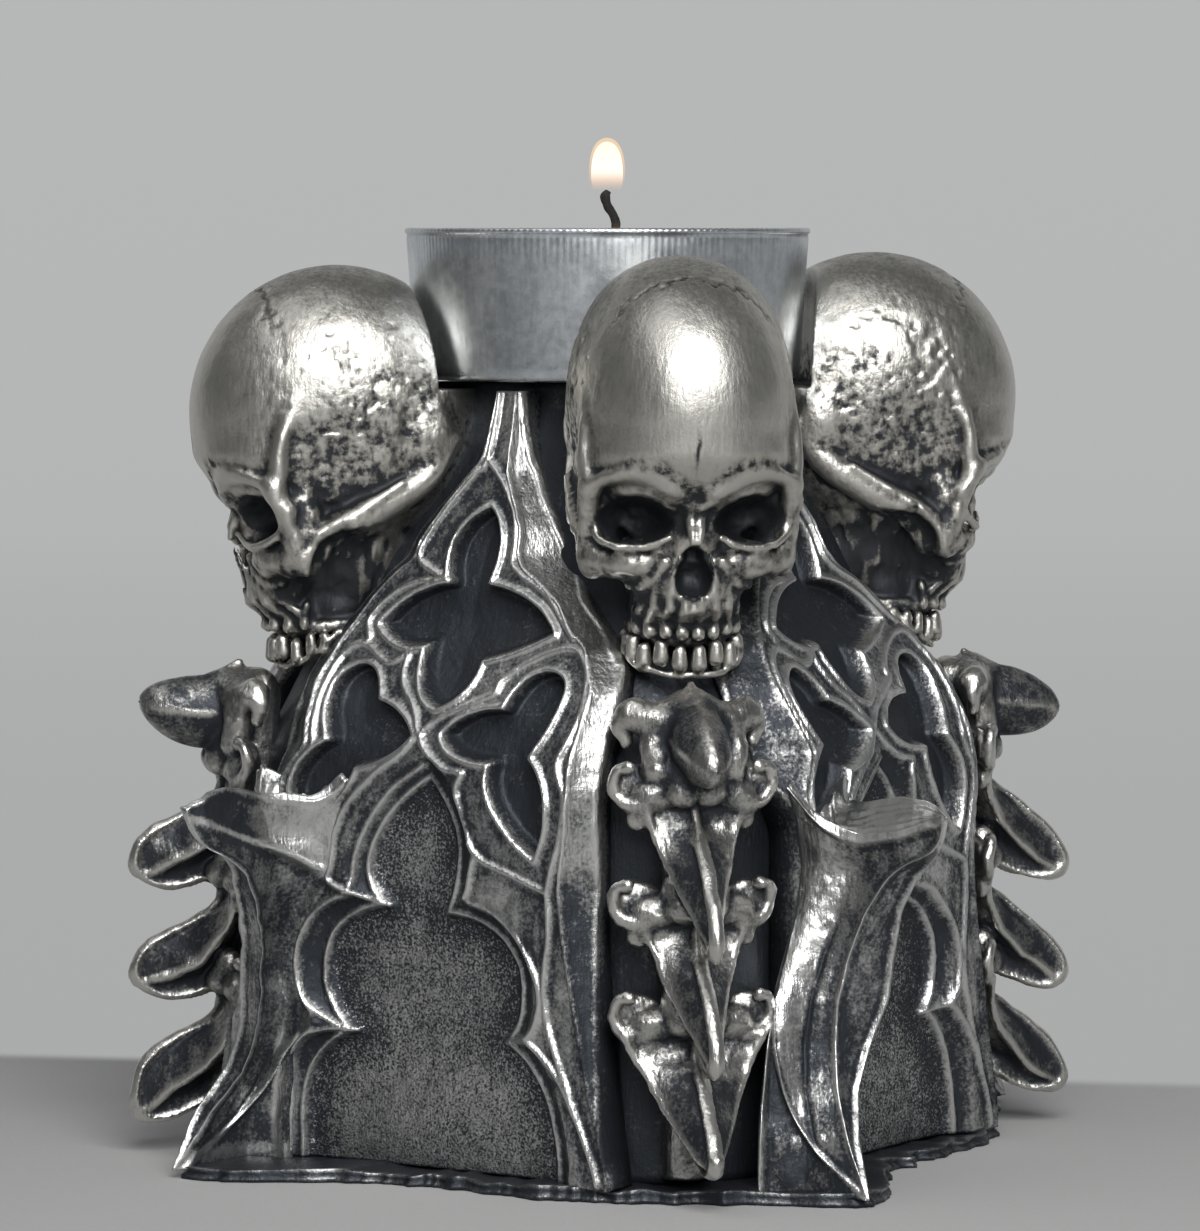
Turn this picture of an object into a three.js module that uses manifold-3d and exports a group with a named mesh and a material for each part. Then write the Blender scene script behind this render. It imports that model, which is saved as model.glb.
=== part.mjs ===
// Gothic tea light holder: four skulls hold a candle cup above spines, buttresses and traceried faces.
// Millimetres, +Z up, origin on the table under the candle; the front skull faces -Y.
import * as THREE from 'three';
import { mergeVertices } from 'three/addons/utils/BufferGeometryUtils.js';
import Module from 'manifold-3d';

const wasm = await Module();
wasm.setup();

// Gaps between pieces
const pieceGap = 0.3;
const candleGap = 0.15;
const pocketClearance = 0.6;

// Candle cup, wax and wick
const cupRimRadius = 19.25;
const cupTaper = 0.9;
const cupHeight = 14.3;
const cupWall = 0.4;
const rimRoll = 0.7;
const cupEdge = 0.6;
const rimProud = 0.3;
const waxDepthBelowRim = 2.2;
const meltRingWidth = 3;
const meltDip = 0.6;
const wickRadius = 0.65;
const wickAboveRim = 3.2;
const sustainerRadius = 7;
const sustainerThickness = 0.4;
const sustainerNeckHeight = 3.5;
const sustainerNeckWall = 0.4;

// Holder heights
const plateThickness = 1.6;
const shoulderHeight = 38;
const seatHeight = 73.5;

// Reach of the faces from the axis, and how the spine corners and the tops stand to it and to the cup
const faceReach = 32;
const spineProud = 1.5;
const faceEdgeProud = 1.6;
const faceTopInset = 2.15;
const spineTopProud = 0.25;
const panelThickness = 2.7;
const pocketDepth = 1.6;

// Buttress at the left side of each face: how far its parts stand out of the face and beside the panel
const buttressWidth = 5;
const wingProud = 14.2;
const wingSideStep = 0.4;
const footProud = 10;
const footSideStep = 5.8;
const waistProud = 3.2;
const waistSideStep = 2.6;
const waistHeight = 19;
const wingDrop = 3;
const noseWidth = 1;

// Skull, about its own centre
const skullHalfWidth = 10;
const skullHalfDepth = 13.8;
const skullHalfHeight = 13.2;
const skullStandOff = 7.2;
const skullDrop = 2.5;
const skullFaceDrop = 1.8;

// Spine blades
const bladeProud = 12.1;
const bladeHalfHeight = 3.1;
const bladeHalfWidth = 3.2;
const bladeRootSwell = 1.1;
const bladeRootDepth = 2.2;
const bladePitch = 9.8;
const bladeDroops = [1.2, 7.5, 8, 7.2];
const bladeSkullGap = 1;
const processRadius = 0.9;
const processSideGap = 2.5;
const topSpanShare = 0.7;

// Base plate
const plateOverhang = 1.6;
const plateCornerProud = 12.9;

// Sizes that follow from the driving ones
const cupBaseRadius = cupRimRadius - cupTaper;
const pocketRadius = cupRimRadius + pocketClearance;
const rimHeight = seatHeight + cupHeight;
const waxTop = rimHeight - waxDepthBelowRim;
const faceTopReach = cupBaseRadius - faceTopInset;
const spineReach = faceReach + spineProud;
const spineTopReach = cupBaseRadius + spineTopProud;
const coreInset = panelThickness + pieceGap;
const faceHalfWidth = spineReach * Math.SQRT2 - faceReach + coreInset + faceEdgeProud;
const panelLeftLimit = faceHalfWidth - buttressWidth;
const wingReach = faceReach + wingProud;
const wingSide = panelLeftLimit + wingSideStep;
const wingTipHeight = shoulderHeight - wingDrop;
const footReach = faceReach + footProud;
const footSide = panelLeftLimit + footSideStep;
const waistReach = faceReach + waistProud;
const waistSide = panelLeftLimit + waistSideStep;
const skullCentreReach = cupRimRadius + skullStandOff;
const skullCentreHeight = seatHeight - skullDrop;
const skullBottom = skullCentreHeight - skullFaceDrop * skullHalfHeight;
const topBladeHeight = skullBottom - bladeSkullGap - bladeRootSwell * bladeHalfHeight;
const processHalfSpan = (faceReach - faceHalfWidth) / Math.SQRT2 - processSideGap;
const plateCornerReach = spineReach + plateCornerProud;
const quarter = Math.PI / 2;
const eighth = Math.PI / 4;
const upAxis = new THREE.Vector3(0, 0, 1);

// Outline of the holder seen in section: fractions of the way from shoulder to seat, and of the inward taper
const taperSteps = [[0, 0], [0.22, 0.27], [0.41, 0.5], [1, 1]];

const finishes = {
  skullSilver: { color: 0xa39d90, roughness: 0.32, metalness: 0.9 },
  rimSilver: { color: 0x8d8b84, roughness: 0.4, metalness: 0.85 },
  darkSilver: { color: 0x2b313b, roughness: 0.55, metalness: 0.6 },
  boneSilver: { color: 0x6d6d6a, roughness: 0.42, metalness: 0.85 },
  plateDark: { color: 0x24272d, roughness: 0.6, metalness: 0.5 },
  aluminium: { color: 0xc3c7cc, roughness: 0.3, metalness: 1 },
  wax: { color: 0xf1ede2, roughness: 0.5, metalness: 0 },
  wick: { color: 0x1b1613, roughness: 0.9, metalness: 0 },
  tinplate: { color: 0xb4b6b8, roughness: 0.35, metalness: 1 },
};

const holder = new THREE.Group();

function addPart(name, geometry, finish, turn = 0) {
  const mesh = new THREE.Mesh(geometry, new THREE.MeshStandardMaterial(finishes[finish]));
  mesh.name = name;
  mesh.rotation.z = turn;
  holder.add(mesh);
}

// Closed geometry to solid, and back again
function solid(geometry) {
  const bare = geometry.index ? geometry.toNonIndexed() : geometry.clone();
  bare.deleteAttribute('normal');
  bare.deleteAttribute('uv');
  const merged = mergeVertices(bare, 1e-4);
  return new wasm.Manifold(new wasm.Mesh({
    numProp: 3,
    vertProperties: new Float32Array(merged.attributes.position.array),
    triVerts: new Uint32Array(merged.index.array),
  }));
}

function geometryOf(body) {
  const mesh = body.getMesh();
  const geometry = new THREE.BufferGeometry();
  geometry.setAttribute('position', new THREE.BufferAttribute(new Float32Array(mesh.vertProperties), 3));
  geometry.setIndex(new THREE.BufferAttribute(new Uint32Array(mesh.triVerts), 1));
  geometry.computeVertexNormals();
  return geometry;
}

function largestBody(body) {
  const bodies = body.decompose();
  return bodies.reduce((best, next) => (next.volume() > best.volume() ? next : best));
}

// Skin stretched over rings of points, all with the same count, closed by flat fans at both ends
function loft(rings) {
  const count = rings[0].length;
  const index = [];
  for (let ring = 0; ring < rings.length - 1; ring += 1) {
    for (let i = 0; i < count; i += 1) {
      const a = ring * count + i;
      const b = ring * count + ((i + 1) % count);
      index.push(a, b, b + count, a, b + count, a + count);
    }
  }
  const last = (rings.length - 1) * count;
  for (let i = 1; i < count - 1; i += 1) {
    index.push(0, i + 1, i, last, last + i, last + i + 1);
  }
  const geometry = new THREE.BufferGeometry().setFromPoints(rings.flat());
  geometry.setIndex(index);
  return geometry;
}

// Round section carried along a smooth path
function tube(points, radius, sides, steps) {
  const circle = new THREE.Shape();
  circle.absarc(0, 0, radius, 0, 2 * Math.PI);
  const path = new THREE.CatmullRomCurve3(points);
  const options = { steps, curveSegments: sides, bevelEnabled: false, extrudePath: path };
  return new THREE.ExtrudeGeometry(circle, options);
}

// Turned profile of [radius, height] pairs
function turned(profile, segments) {
  const points = profile.map(([radius, height]) => new THREE.Vector2(radius, height));
  return new THREE.LatheGeometry(points, segments).rotateX(quarter);
}

function ellipsoid(halfX, halfY, halfZ, x, y, z, around, up) {
  const geometry = new THREE.SphereGeometry(1, around, up).rotateX(quarter);
  return geometry.scale(halfX, halfY, halfZ).translate(x, y, z);
}

// Reach of a face or spine corner at each step of height, as [height, reach]
function reachProfile(lowReach, topReach) {
  const upper = taperSteps.map(([rise, taper]) => [
    shoulderHeight + rise * (seatHeight - shoulderHeight),
    lowReach + taper * (topReach - lowReach),
  ]);
  return [[plateThickness, lowReach], ...upper];
}

// Reach at any height, on straight lines between the steps of a profile
function reachAt(profile, height) {
  const upper = Math.max(1, profile.findIndex(([step]) => step >= height));
  const [lowHeight, lowReach] = profile[upper - 1];
  const [highHeight, highReach] = profile[upper];
  return lowReach + (height - lowHeight) / (highHeight - lowHeight) * (highReach - lowReach);
}

// Core body: eight-sided, with a face between each two spine corners
function coreBody(grow) {
  const faces = reachProfile(faceReach - coreInset, faceTopReach - coreInset);
  const spines = reachProfile(spineReach, spineTopReach);
  const rings = faces.map(([height, reach], step) => {
    const face = reach + grow;
    const spine = spines[step][1] + grow;
    const half = face * Math.SQRT2 - spine;
    const ring = [];
    for (let corner = 0; corner < 4; corner += 1) {
      for (const side of [-half, half]) {
        const point = new THREE.Vector3(side, -spine, height);
        ring.push(point.applyAxisAngle(upAxis, corner * quarter));
      }
    }
    return ring;
  });
  return loft(rings);
}

// Band between two depths behind a face's front surface, as a block across the whole face
function faceBand(frontOffset, backOffset) {
  const profile = reachProfile(faceReach, faceTopReach);
  const points = [
    ...profile.map(([height, reach]) => new THREE.Vector2(reach + frontOffset, height)),
    ...profile.map(([height, reach]) => new THREE.Vector2(reach - backOffset, height)).reverse(),
  ];
  const width = 3 * faceHalfWidth;
  const block = new THREE.ExtrudeGeometry(new THREE.Shape(points), { depth: width, bevelEnabled: false });
  block.translate(0, 0, -width / 2);
  block.rotateX(quarter).rotateZ(-quarter);
  return solid(block);
}

// Face outlines are in hundredths of the face's half width and of the seat height
function facePoint(across, up) {
  return [across * faceHalfWidth / 100, up * seatHeight / 100];
}

// Closed outline from a start point and [control, end] curve pairs
function curvedShape(start, curves) {
  const shape = new THREE.Shape();
  shape.moveTo(...facePoint(...start));
  for (const [control, end] of curves) {
    shape.quadraticCurveTo(...facePoint(...control), ...facePoint(...end));
  }
  return shape;
}

// The same curves carried on to the left half, mirrored, so that the outline closes at its start
function mirroredCurves(start, curves) {
  const flip = ([across, up]) => [-across, up];
  const stops = [start, ...curves.map(([, end]) => end)];
  const back = curves.map(([control], i) => [flip(control), flip(stops[i])]).reverse();
  return [...curves, ...back];
}

function facePrism(shape) {
  const length = 2 * faceReach;
  const prism = new THREE.ExtrudeGeometry(shape, { depth: length, bevelEnabled: false, curveSegments: 3 });
  return solid(prism.rotateX(quarter));
}

// Right-hand edge of the face from the plate to its point under the candle, as [across, up]
const panelEdge = [
  [92, 0], [92, 58.5], [86.5, 65.3], [61.5, 72.1], [36, 78.9], [21, 85.7], [13, 89.8], [5.5, 98.6],
];

function panelOutline(grow) {
  const bottom = plateThickness + pieceGap;
  const right = panelEdge.map((stop) => facePoint(...stop));
  right[0][1] = bottom;
  const shape = new THREE.Shape();
  shape.moveTo(-panelLeftLimit - grow, bottom);
  right.forEach(([across, up]) => shape.lineTo(across + grow, up));
  const upperLeft = right.filter(([, up]) => up > shoulderHeight).reverse();
  upperLeft.forEach(([across, up]) => shape.lineTo(-across - grow, up));
  const [shoulderAcross] = upperLeft[upperLeft.length - 1];
  shape.lineTo(-shoulderAcross - grow, shoulderHeight);
  shape.lineTo(-panelLeftLimit - grow, shoulderHeight);
  return shape;
}

function traceryPanel() {
  const plate = facePrism(panelOutline(0)).intersect(faceBand(0, panelThickness));
  const quatrefoilTop = [0, 84.8];
  const quatrefoil = curvedShape(quatrefoilTop, mirroredCurves(quatrefoilTop, [
    [[18, 81], [11, 74.8]],
    [[37, 74.8], [50, 69.1]],
    [[27, 66.4], [13.5, 66.4]],
    [[18, 62.6], [0, 59.6]],
  ]));
  const trefoilCurves = [
    [[41.5, 65], [57.5, 64.5]],
    [[75, 63.3], [56, 54.3]],
    [[75, 49.7], [61, 42]],
    [[32, 47.6], [36, 53.6]],
    [[12.5, 53.3], [5, 56.7]],
    [[15, 60.3], [36.5, 59.9]],
  ];
  const trefoil = curvedShape([36.5, 59.9], trefoilCurves);
  const windowTop = [0, 50.3];
  const window = curvedShape(windowTop, mirroredCurves(windowTop, [
    [[31, 42.9], [20, 35.1]],
    [[47, 33.3], [53, 27.2]],
    [[60, 22], [41, 18.5]],
    [[67, 15], [70, 4]],
    [[70, 2], [70, -1]],
    [[30, -1], [0, -1]],
  ]));
  const rightTrefoil = facePrism(trefoil);
  const trefoils = rightTrefoil.add(rightTrefoil.mirror([1, 0, 0]));
  const openings = facePrism(quatrefoil).add(trefoils).add(facePrism(window));
  return largestBody(plate.subtract(openings.intersect(faceBand(pieceGap, pocketDepth))));
}

// One level of the buttress: from the window side round its nose to the spine side
function buttressRing(height, reach, side) {
  const rootReach = faceReach - panelThickness;
  const windowSide = -panelLeftLimit - pieceGap;
  const spineSide = rootReach - Math.SQRT2 * (spineReach + 2 * pieceGap);
  return [
    [windowSide, rootReach],
    [spineSide, rootReach],
    [spineSide - noseWidth, faceReach - noseWidth / 2],
    [-side - noseWidth, reach - noseWidth],
    [-side, reach],
    [-side + noseWidth, reach - noseWidth],
    [windowSide, faceReach],
  ].map(([across, out]) => new THREE.Vector3(across, -out, height));
}

function buttressFoot() {
  const bottom = plateThickness + pieceGap;
  const levels = [[0, 1], [0.3, 0.5], [0.62, 0.13], [1, 0]];
  const rings = levels.map(([rise, flare]) => buttressRing(
    bottom + rise * (waistHeight - bottom),
    waistReach + flare * (footReach - waistReach),
    waistSide + flare * (footSide - waistSide),
  ));
  return loft(rings);
}

function buttressWing() {
  const top = shoulderHeight - pieceGap;
  const bottom = waistHeight + pieceGap;
  const levels = [[0, 0], [0.4, 0.1], [0.75, 0.5], [1, 1]];
  const rings = levels.map(([rise, flare]) => buttressRing(
    bottom + rise * (wingTipHeight - bottom),
    waistReach + flare * (wingReach - waistReach),
    waistSide + flare * (wingSide - waistSide),
  ));
  rings.push(buttressRing(top, waistReach, waistSide));
  return loft(rings);
}

// Cuts a corner piece clear of the panels on both sides of it
function clearOfPanels(body) {
  const panel = facePrism(panelOutline(pieceGap)).intersect(faceBand(pieceGap, coreInset));
  return body.subtract(panel.rotate([0, 0, -45])).subtract(panel.rotate([0, 0, 45]));
}

// Skull without its lower jaw, cut to sit on the core, beside the faces and around the candle cup
function skull() {
  const at = (across, out, up) => new THREE.Vector3(
    across * skullHalfWidth,
    -skullCentreReach - out * skullHalfDepth,
    skullCentreHeight + up * skullHalfHeight,
  );
  const ball = (half, centre, around, up) => solid(ellipsoid(
    half[0] * skullHalfWidth, half[1] * skullHalfDepth, half[2] * skullHalfHeight,
    ...at(...centre), around, up,
  ));
  // Face levels from brow to teeth: half width, front, back and height
  const levels = [
    [0.93, 0.97, 0.05, -0.36], [0.93, 0.88, 0, -0.68], [0.84, 0.82, -0.02, -0.98],
    [0.62, 0.66, 0.02, -1.3], [0.5, 0.54, 0.06, -1.52], [0.45, 0.44, 0.14, -skullFaceDrop],
  ];
  const corners = [[1, 0], [0.92, 0.62], [0.5, 0.94], [-0.5, 0.94], [-0.92, 0.62], [-1, 0]];
  const rings = levels.map(([half, front, back, up]) => (
    corners.map(([across, out]) => at(across * half, back + out * (front - back), up))
  ));
  let body = ball([1, 1, 1], [0, 0, 0], 18, 12).add(solid(loft(rings)));
  for (const side of [-1, 1]) {
    const arch = [
      at(side * 0.74, 0.6, -0.86), at(side * 0.93, 0.25, -1.1),
      at(side * 0.98, -0.22, -0.83), at(side * 0.93, -0.5, -0.6),
    ];
    body = body.add(solid(tube(arch, 0.09 * skullHalfWidth, 3, 8)));
  }
  for (const side of [-1, 1]) {
    body = body.subtract(ball([0.36, 0.3, 0.18], [side * 0.47, 0.86, -0.74], 10, 7));
  }
  body = body.subtract(ball([0.17, 0.26, 0.24], [0, 0.82, -1.08], 8, 6));
  const pocket = new THREE.CylinderGeometry(pocketRadius, pocketRadius, 2 * cupHeight, 40).rotateX(quarter);
  pocket.translate(0, 0, seatHeight - pieceGap + cupHeight);
  body = body.subtract(solid(pocket)).subtract(solid(coreBody(pieceGap)));
  return largestBody(clearOfPanels(body));
}

// Vertebra: a leaf-shaped blade with a pair of side processes, cut flat against the core
function vertebra(rootHeight, tipHeight, span) {
  const coreReach = reachAt(reachProfile(spineReach, spineTopReach), rootHeight);
  const rootReach = coreReach - bladeRootDepth;
  const tipReach = spineReach + bladeProud;
  // Along the blade: way out, half height and half width
  const stations = [
    [0, bladeRootSwell, 1.2], [0.35, 1, 1], [0.6, 0.95, 0.62], [0.85, 0.7, 0.34], [1, 0.12, 0.1],
  ];
  const corners = [
    [0, 1], [-0.75, 0.45], [-1, 0], [-0.75, -0.45], [0, -1], [0.75, -0.45], [1, 0], [0.75, 0.45],
  ];
  const rings = stations.map(([way, tall, wide]) => {
    const reach = rootReach + way * (tipReach - rootReach);
    const height = rootHeight + way * (tipHeight - rootHeight);
    return corners.map(([across, up]) => new THREE.Vector3(
      across * wide * bladeHalfWidth, -reach, height + up * tall * bladeHalfHeight,
    ));
  });
  let body = solid(loft(rings));
  const seat = coreReach + pieceGap + 2 * processRadius;
  const sides = [-1, -0.55, 0, 0.55, 1].map((across) => new THREE.Vector3(
    across * span, -seat, rootHeight + (Math.abs(across) > 0.9 ? processRadius : -processRadius),
  ));
  body = body.add(solid(tube(sides, processRadius, 3, 8)));
  return largestBody(clearOfPanels(body.subtract(solid(coreBody(pieceGap)))));
}

// Base plate: a quarter of its edge, as [degrees from the front spine, reach], repeated round the axis
function basePlate() {
  const foot = Math.hypot(footReach, footSide) + plateOverhang;
  const footTurn = 45 - THREE.MathUtils.radToDeg(Math.atan2(footSide, footReach));
  const face = faceReach + plateOverhang;
  const edge = [
    [-7, plateCornerReach - 1], [0, plateCornerReach], [8, plateCornerReach - 1],
    [footTurn - 4, foot - 1], [footTurn + 1, foot - 0.6], [footTurn + 6, foot - 7],
    [40, face + 0.6], [52, face + 0.4], [63, face + 2.4], [72, face + 5],
  ];
  const points = [];
  for (let side = 0; side < 4; side += 1) {
    for (const [turn, reach] of edge) {
      const angle = THREE.MathUtils.degToRad(turn) + (side - 1) * quarter;
      points.push(new THREE.Vector2(reach * Math.cos(angle), reach * Math.sin(angle)));
    }
  }
  return new THREE.ExtrudeGeometry(new THREE.Shape(points), { depth: plateThickness, bevelEnabled: false });
}

// Candle
function candleCup() {
  const inner = cupRimRadius - cupWall;
  const floor = seatHeight + cupWall;
  return turned([
    [0, seatHeight], [cupBaseRadius - cupEdge, seatHeight], [cupBaseRadius, seatHeight + cupEdge],
    [cupRimRadius - rimProud, rimHeight - 2 * rimRoll], [cupRimRadius, rimHeight - rimRoll],
    [cupRimRadius - rimProud / 2, rimHeight], [inner, rimHeight], [inner - rimProud, rimHeight - rimRoll],
    [cupBaseRadius - cupWall, floor + cupEdge], [cupBaseRadius - cupWall - cupEdge, floor], [0, floor],
  ], 36);
}

function candleWax() {
  const bottom = seatHeight + cupWall + candleGap;
  const wall = cupBaseRadius - cupWall - 2 * candleGap;
  const rise = (waxTop - seatHeight) / cupHeight;
  const top = wall + rise * (cupTaper - cupWall - rimProud);
  const overDisc = bottom + sustainerThickness + candleGap;
  const overNeck = bottom + sustainerNeckHeight + candleGap;
  const bore = wickRadius + candleGap;
  const disc = sustainerRadius + candleGap;
  const neck = bore + sustainerNeckWall + candleGap;
  return turned([
    [disc, bottom], [wall - cupEdge, bottom], [wall, bottom + cupEdge], [top, waxTop],
    [bore + meltRingWidth, waxTop - meltDip], [bore, waxTop - meltDip], [bore, overNeck],
    [neck, overNeck], [neck, overDisc], [disc, overDisc], [disc, bottom],
  ], 32);
}

function wickSustainer() {
  const bottom = seatHeight + cupWall + candleGap;
  const bore = wickRadius + candleGap;
  const neck = bore + sustainerNeckWall;
  const discTop = bottom + sustainerThickness;
  return turned([
    [bore, bottom], [sustainerRadius, bottom], [sustainerRadius, discTop], [neck, discTop],
    [neck, bottom + sustainerNeckHeight], [bore, bottom + sustainerNeckHeight], [bore, bottom],
  ], 20);
}

function candleWick() {
  const foot = seatHeight + cupWall + 2 * candleGap;
  const tip = rimHeight + wickAboveRim;
  const bend = wickRadius;
  const path = [
    [0, 0, foot], [0, 0, (foot + waxTop) / 2], [0, 0, waxTop], [-bend / 2, 0, waxTop + (tip - waxTop) / 3],
    [-bend, 0, waxTop + 2 * (tip - waxTop) / 3], [-bend / 2, 0, tip],
  ].map((point) => new THREE.Vector3(...point));
  return tube(path, wickRadius, 4, 16);
}

const corners = ['front', 'right', 'back', 'left'];
const faces = ['front_right', 'back_right', 'back_left', 'front_left'];

addPart('base_plate', basePlate(), 'plateDark');
addPart('core_body', coreBody(0), 'darkSilver');

const panelGeometry = geometryOf(traceryPanel());
const skullGeometry = geometryOf(skull());
const spineGeometries = bladeDroops.map((droop, level) => {
  const root = topBladeHeight - level * bladePitch;
  const span = level === 0 ? topSpanShare * processHalfSpan : processHalfSpan;
  return geometryOf(vertebra(root, root - droop, span));
});

faces.forEach((face, side) => {
  const turn = eighth + side * quarter;
  addPart(`tracery_panel_${face}`, panelGeometry, 'rimSilver', turn);
  addPart(`buttress_wing_${face}`, buttressWing(), 'rimSilver', turn);
  addPart(`buttress_foot_${face}`, buttressFoot(), 'rimSilver', turn);
});

corners.forEach((corner, side) => {
  const turn = side * quarter;
  addPart(`skull_${corner}`, skullGeometry, 'skullSilver', turn);
  spineGeometries.forEach((geometry, level) => {
    addPart(`vertebra_${corner}_${level + 1}`, geometry, 'boneSilver', turn);
  });
});

addPart('tealight_cup', candleCup(), 'aluminium');
addPart('tealight_wax', candleWax(), 'wax');
addPart('wick_sustainer', wickSustainer(), 'tinplate');
addPart('wick', candleWick(), 'wick');

export default holder;
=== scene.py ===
import math

import bmesh
import bpy
import numpy as np
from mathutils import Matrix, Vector


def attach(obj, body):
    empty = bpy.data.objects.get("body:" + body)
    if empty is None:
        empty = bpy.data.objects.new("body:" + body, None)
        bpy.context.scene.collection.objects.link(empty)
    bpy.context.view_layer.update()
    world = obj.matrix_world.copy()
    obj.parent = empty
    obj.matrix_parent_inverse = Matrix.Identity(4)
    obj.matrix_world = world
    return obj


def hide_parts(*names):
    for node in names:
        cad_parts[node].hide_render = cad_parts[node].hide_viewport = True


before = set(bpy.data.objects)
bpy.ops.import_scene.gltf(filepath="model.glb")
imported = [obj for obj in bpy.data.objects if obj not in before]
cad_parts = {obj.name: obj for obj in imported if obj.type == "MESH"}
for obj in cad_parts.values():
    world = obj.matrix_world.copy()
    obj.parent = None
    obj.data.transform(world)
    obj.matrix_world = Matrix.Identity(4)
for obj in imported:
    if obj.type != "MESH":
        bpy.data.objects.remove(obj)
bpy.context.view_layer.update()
print("frame loaded:", len(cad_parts), "nodes")

mm = 0.001  # every shape below is worked out in millimetres
weldGap = 1e-7  # points of a welded piece nearer than this, in metres, are made one
lumpCells = 32  # the pattern of lumps repeats after this many of them
cornerTurns = {"front": 0, "right": 90, "back": 180, "left": 270}
faceTurns = {"front_right": 45, "back_right": 135, "back_left": 225, "front_left": 315}
cameraTurn = -12.3  # degrees round from the front skull


# A mesh piece: points facing -Y are turned about the candle's axis, marks are shares that its material reads,
# and points that share a place are made one where it is welded
def addPiece(name, points, faces, material, rides, nodes, marks=None, turn=0, weld=False):
    angle = math.radians(turn)
    place = np.array(points, float)
    place[:, 0] = points[:, 0] * math.cos(angle) - points[:, 1] * math.sin(angle)
    place[:, 1] = points[:, 0] * math.sin(angle) + points[:, 1] * math.cos(angle)
    mesh = bpy.data.meshes.new(name)
    mesh.vertices.add(len(place))
    mesh.vertices.foreach_set("co", (place * mm).astype(np.float32).ravel())
    mesh.loops.add(faces.size)
    mesh.loops.foreach_set("vertex_index", faces.astype(np.int32).ravel())
    mesh.polygons.add(len(faces))
    mesh.polygons.foreach_set("loop_start", np.arange(0, faces.size, faces.shape[1], dtype=np.int32))
    mesh.polygons.foreach_set("use_smooth", np.ones(len(faces), bool))
    mesh.update(calc_edges=True)
    for mark, values in (marks or {}).items():
        layer = mesh.attributes.new(mark, "FLOAT", "POINT")
        layer.data.foreach_set("value", np.asarray(values, np.float32))
    if weld:
        shell = bmesh.new()
        shell.from_mesh(mesh)
        bmesh.ops.remove_doubles(shell, verts=shell.verts, dist=weldGap)
        shell.to_mesh(mesh)
        shell.free()
    mesh.materials.append(material)
    piece = bpy.data.objects.new(name, mesh)
    bpy.context.scene.collection.objects.link(piece)
    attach(piece, rides)
    if nodes:
        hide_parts(*nodes)
    print("made", name, len(faces), "faces")


# Quads of a grid of rows by columns, joined round at the ends of its rows when it wraps
def gridFaces(rows, columns, wraps=False):
    number = np.arange(rows * columns).reshape(rows, columns)
    if wraps:
        number = np.concatenate([number, number[:, :1]], axis=1)
    corners = [number[:-1, :-1], number[:-1, 1:], number[1:, 1:], number[1:, :-1]]
    return np.stack(corners, axis=-1).reshape(-1, 4)


# Quadratic arcs end to end: (1-t)^2 of the start, 2t(1-t) of the bend and t^2 of the end
def arcs(start, bends, count=14):
    share = np.linspace(0, 1, count, endpoint=False)[:, None]
    points = []
    for bend, end in bends:
        points.append((1 - share) ** 2 * np.array(start) + 2 * share * (1 - share) * np.array(bend)
                      + share ** 2 * np.array(end))
        start = end
    return np.concatenate(points + [np.array([start])])


# A path through its points with even bends: cubic stretches whose slopes follow the neighbours on both sides
def smoothPath(points, count=4):
    points = np.array(points, float)
    padded = np.concatenate([2 * points[:1] - points[1:2], points, 2 * points[-1:] - points[-2:-1]])
    share = np.linspace(0, 1, count, endpoint=False)[:, None, None]
    before, start, end, after = padded[:-3], padded[1:-2], padded[2:-1], padded[3:]
    path = 0.5 * (2 * start + (end - before) * share
                  + (2 * before - 5 * start + 4 * end - after) * share ** 2
                  + (3 * start - before - 3 * end + after) * share ** 3)
    return np.concatenate([path.transpose(1, 0, 2).reshape(-1, points.shape[1]), points[-1:]])


# Heights between listed stops, evened out over a short stretch on both sides
def evened(at, stops, values, even):
    shifts = np.linspace(-even, even, 9)
    return np.mean([np.interp(at + shift, stops, values) for shift in shifts], axis=0)


# A smooth rise from 0 at low to 1 at high: 3s^2 - 2s^3 of the share s of the way between them
def smoothStep(low, high, value):
    share = np.clip((value - low) / (high - low), 0, 1)
    return share * share * (3 - 2 * share)


# A soft ridge: one at the middle, falling to nothing at the given width on each side
def ridge(value, middle, width):
    share = np.clip(1 - np.abs(value - middle) / width, 0, 1)
    return share * share * (3 - 2 * share)


# Seeded lumps: random values on a cubic lattice, blended smoothly between its corners, from -1 to 1
def lumps(points, size, seed):
    table = np.random.default_rng(seed).random((lumpCells,) * 3) * 2 - 1
    cell = points / size
    base = np.floor(cell).astype(int)
    share = cell - base
    share = share * share * (3 - 2 * share)
    total = np.zeros(len(points))
    for corner in np.ndindex(2, 2, 2):
        at = (base + corner) % lumpCells
        weight = np.prod(np.where(corner, share, 1 - share), axis=1)
        total += weight * table[at[:, 0], at[:, 1], at[:, 2]]
    return total


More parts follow.
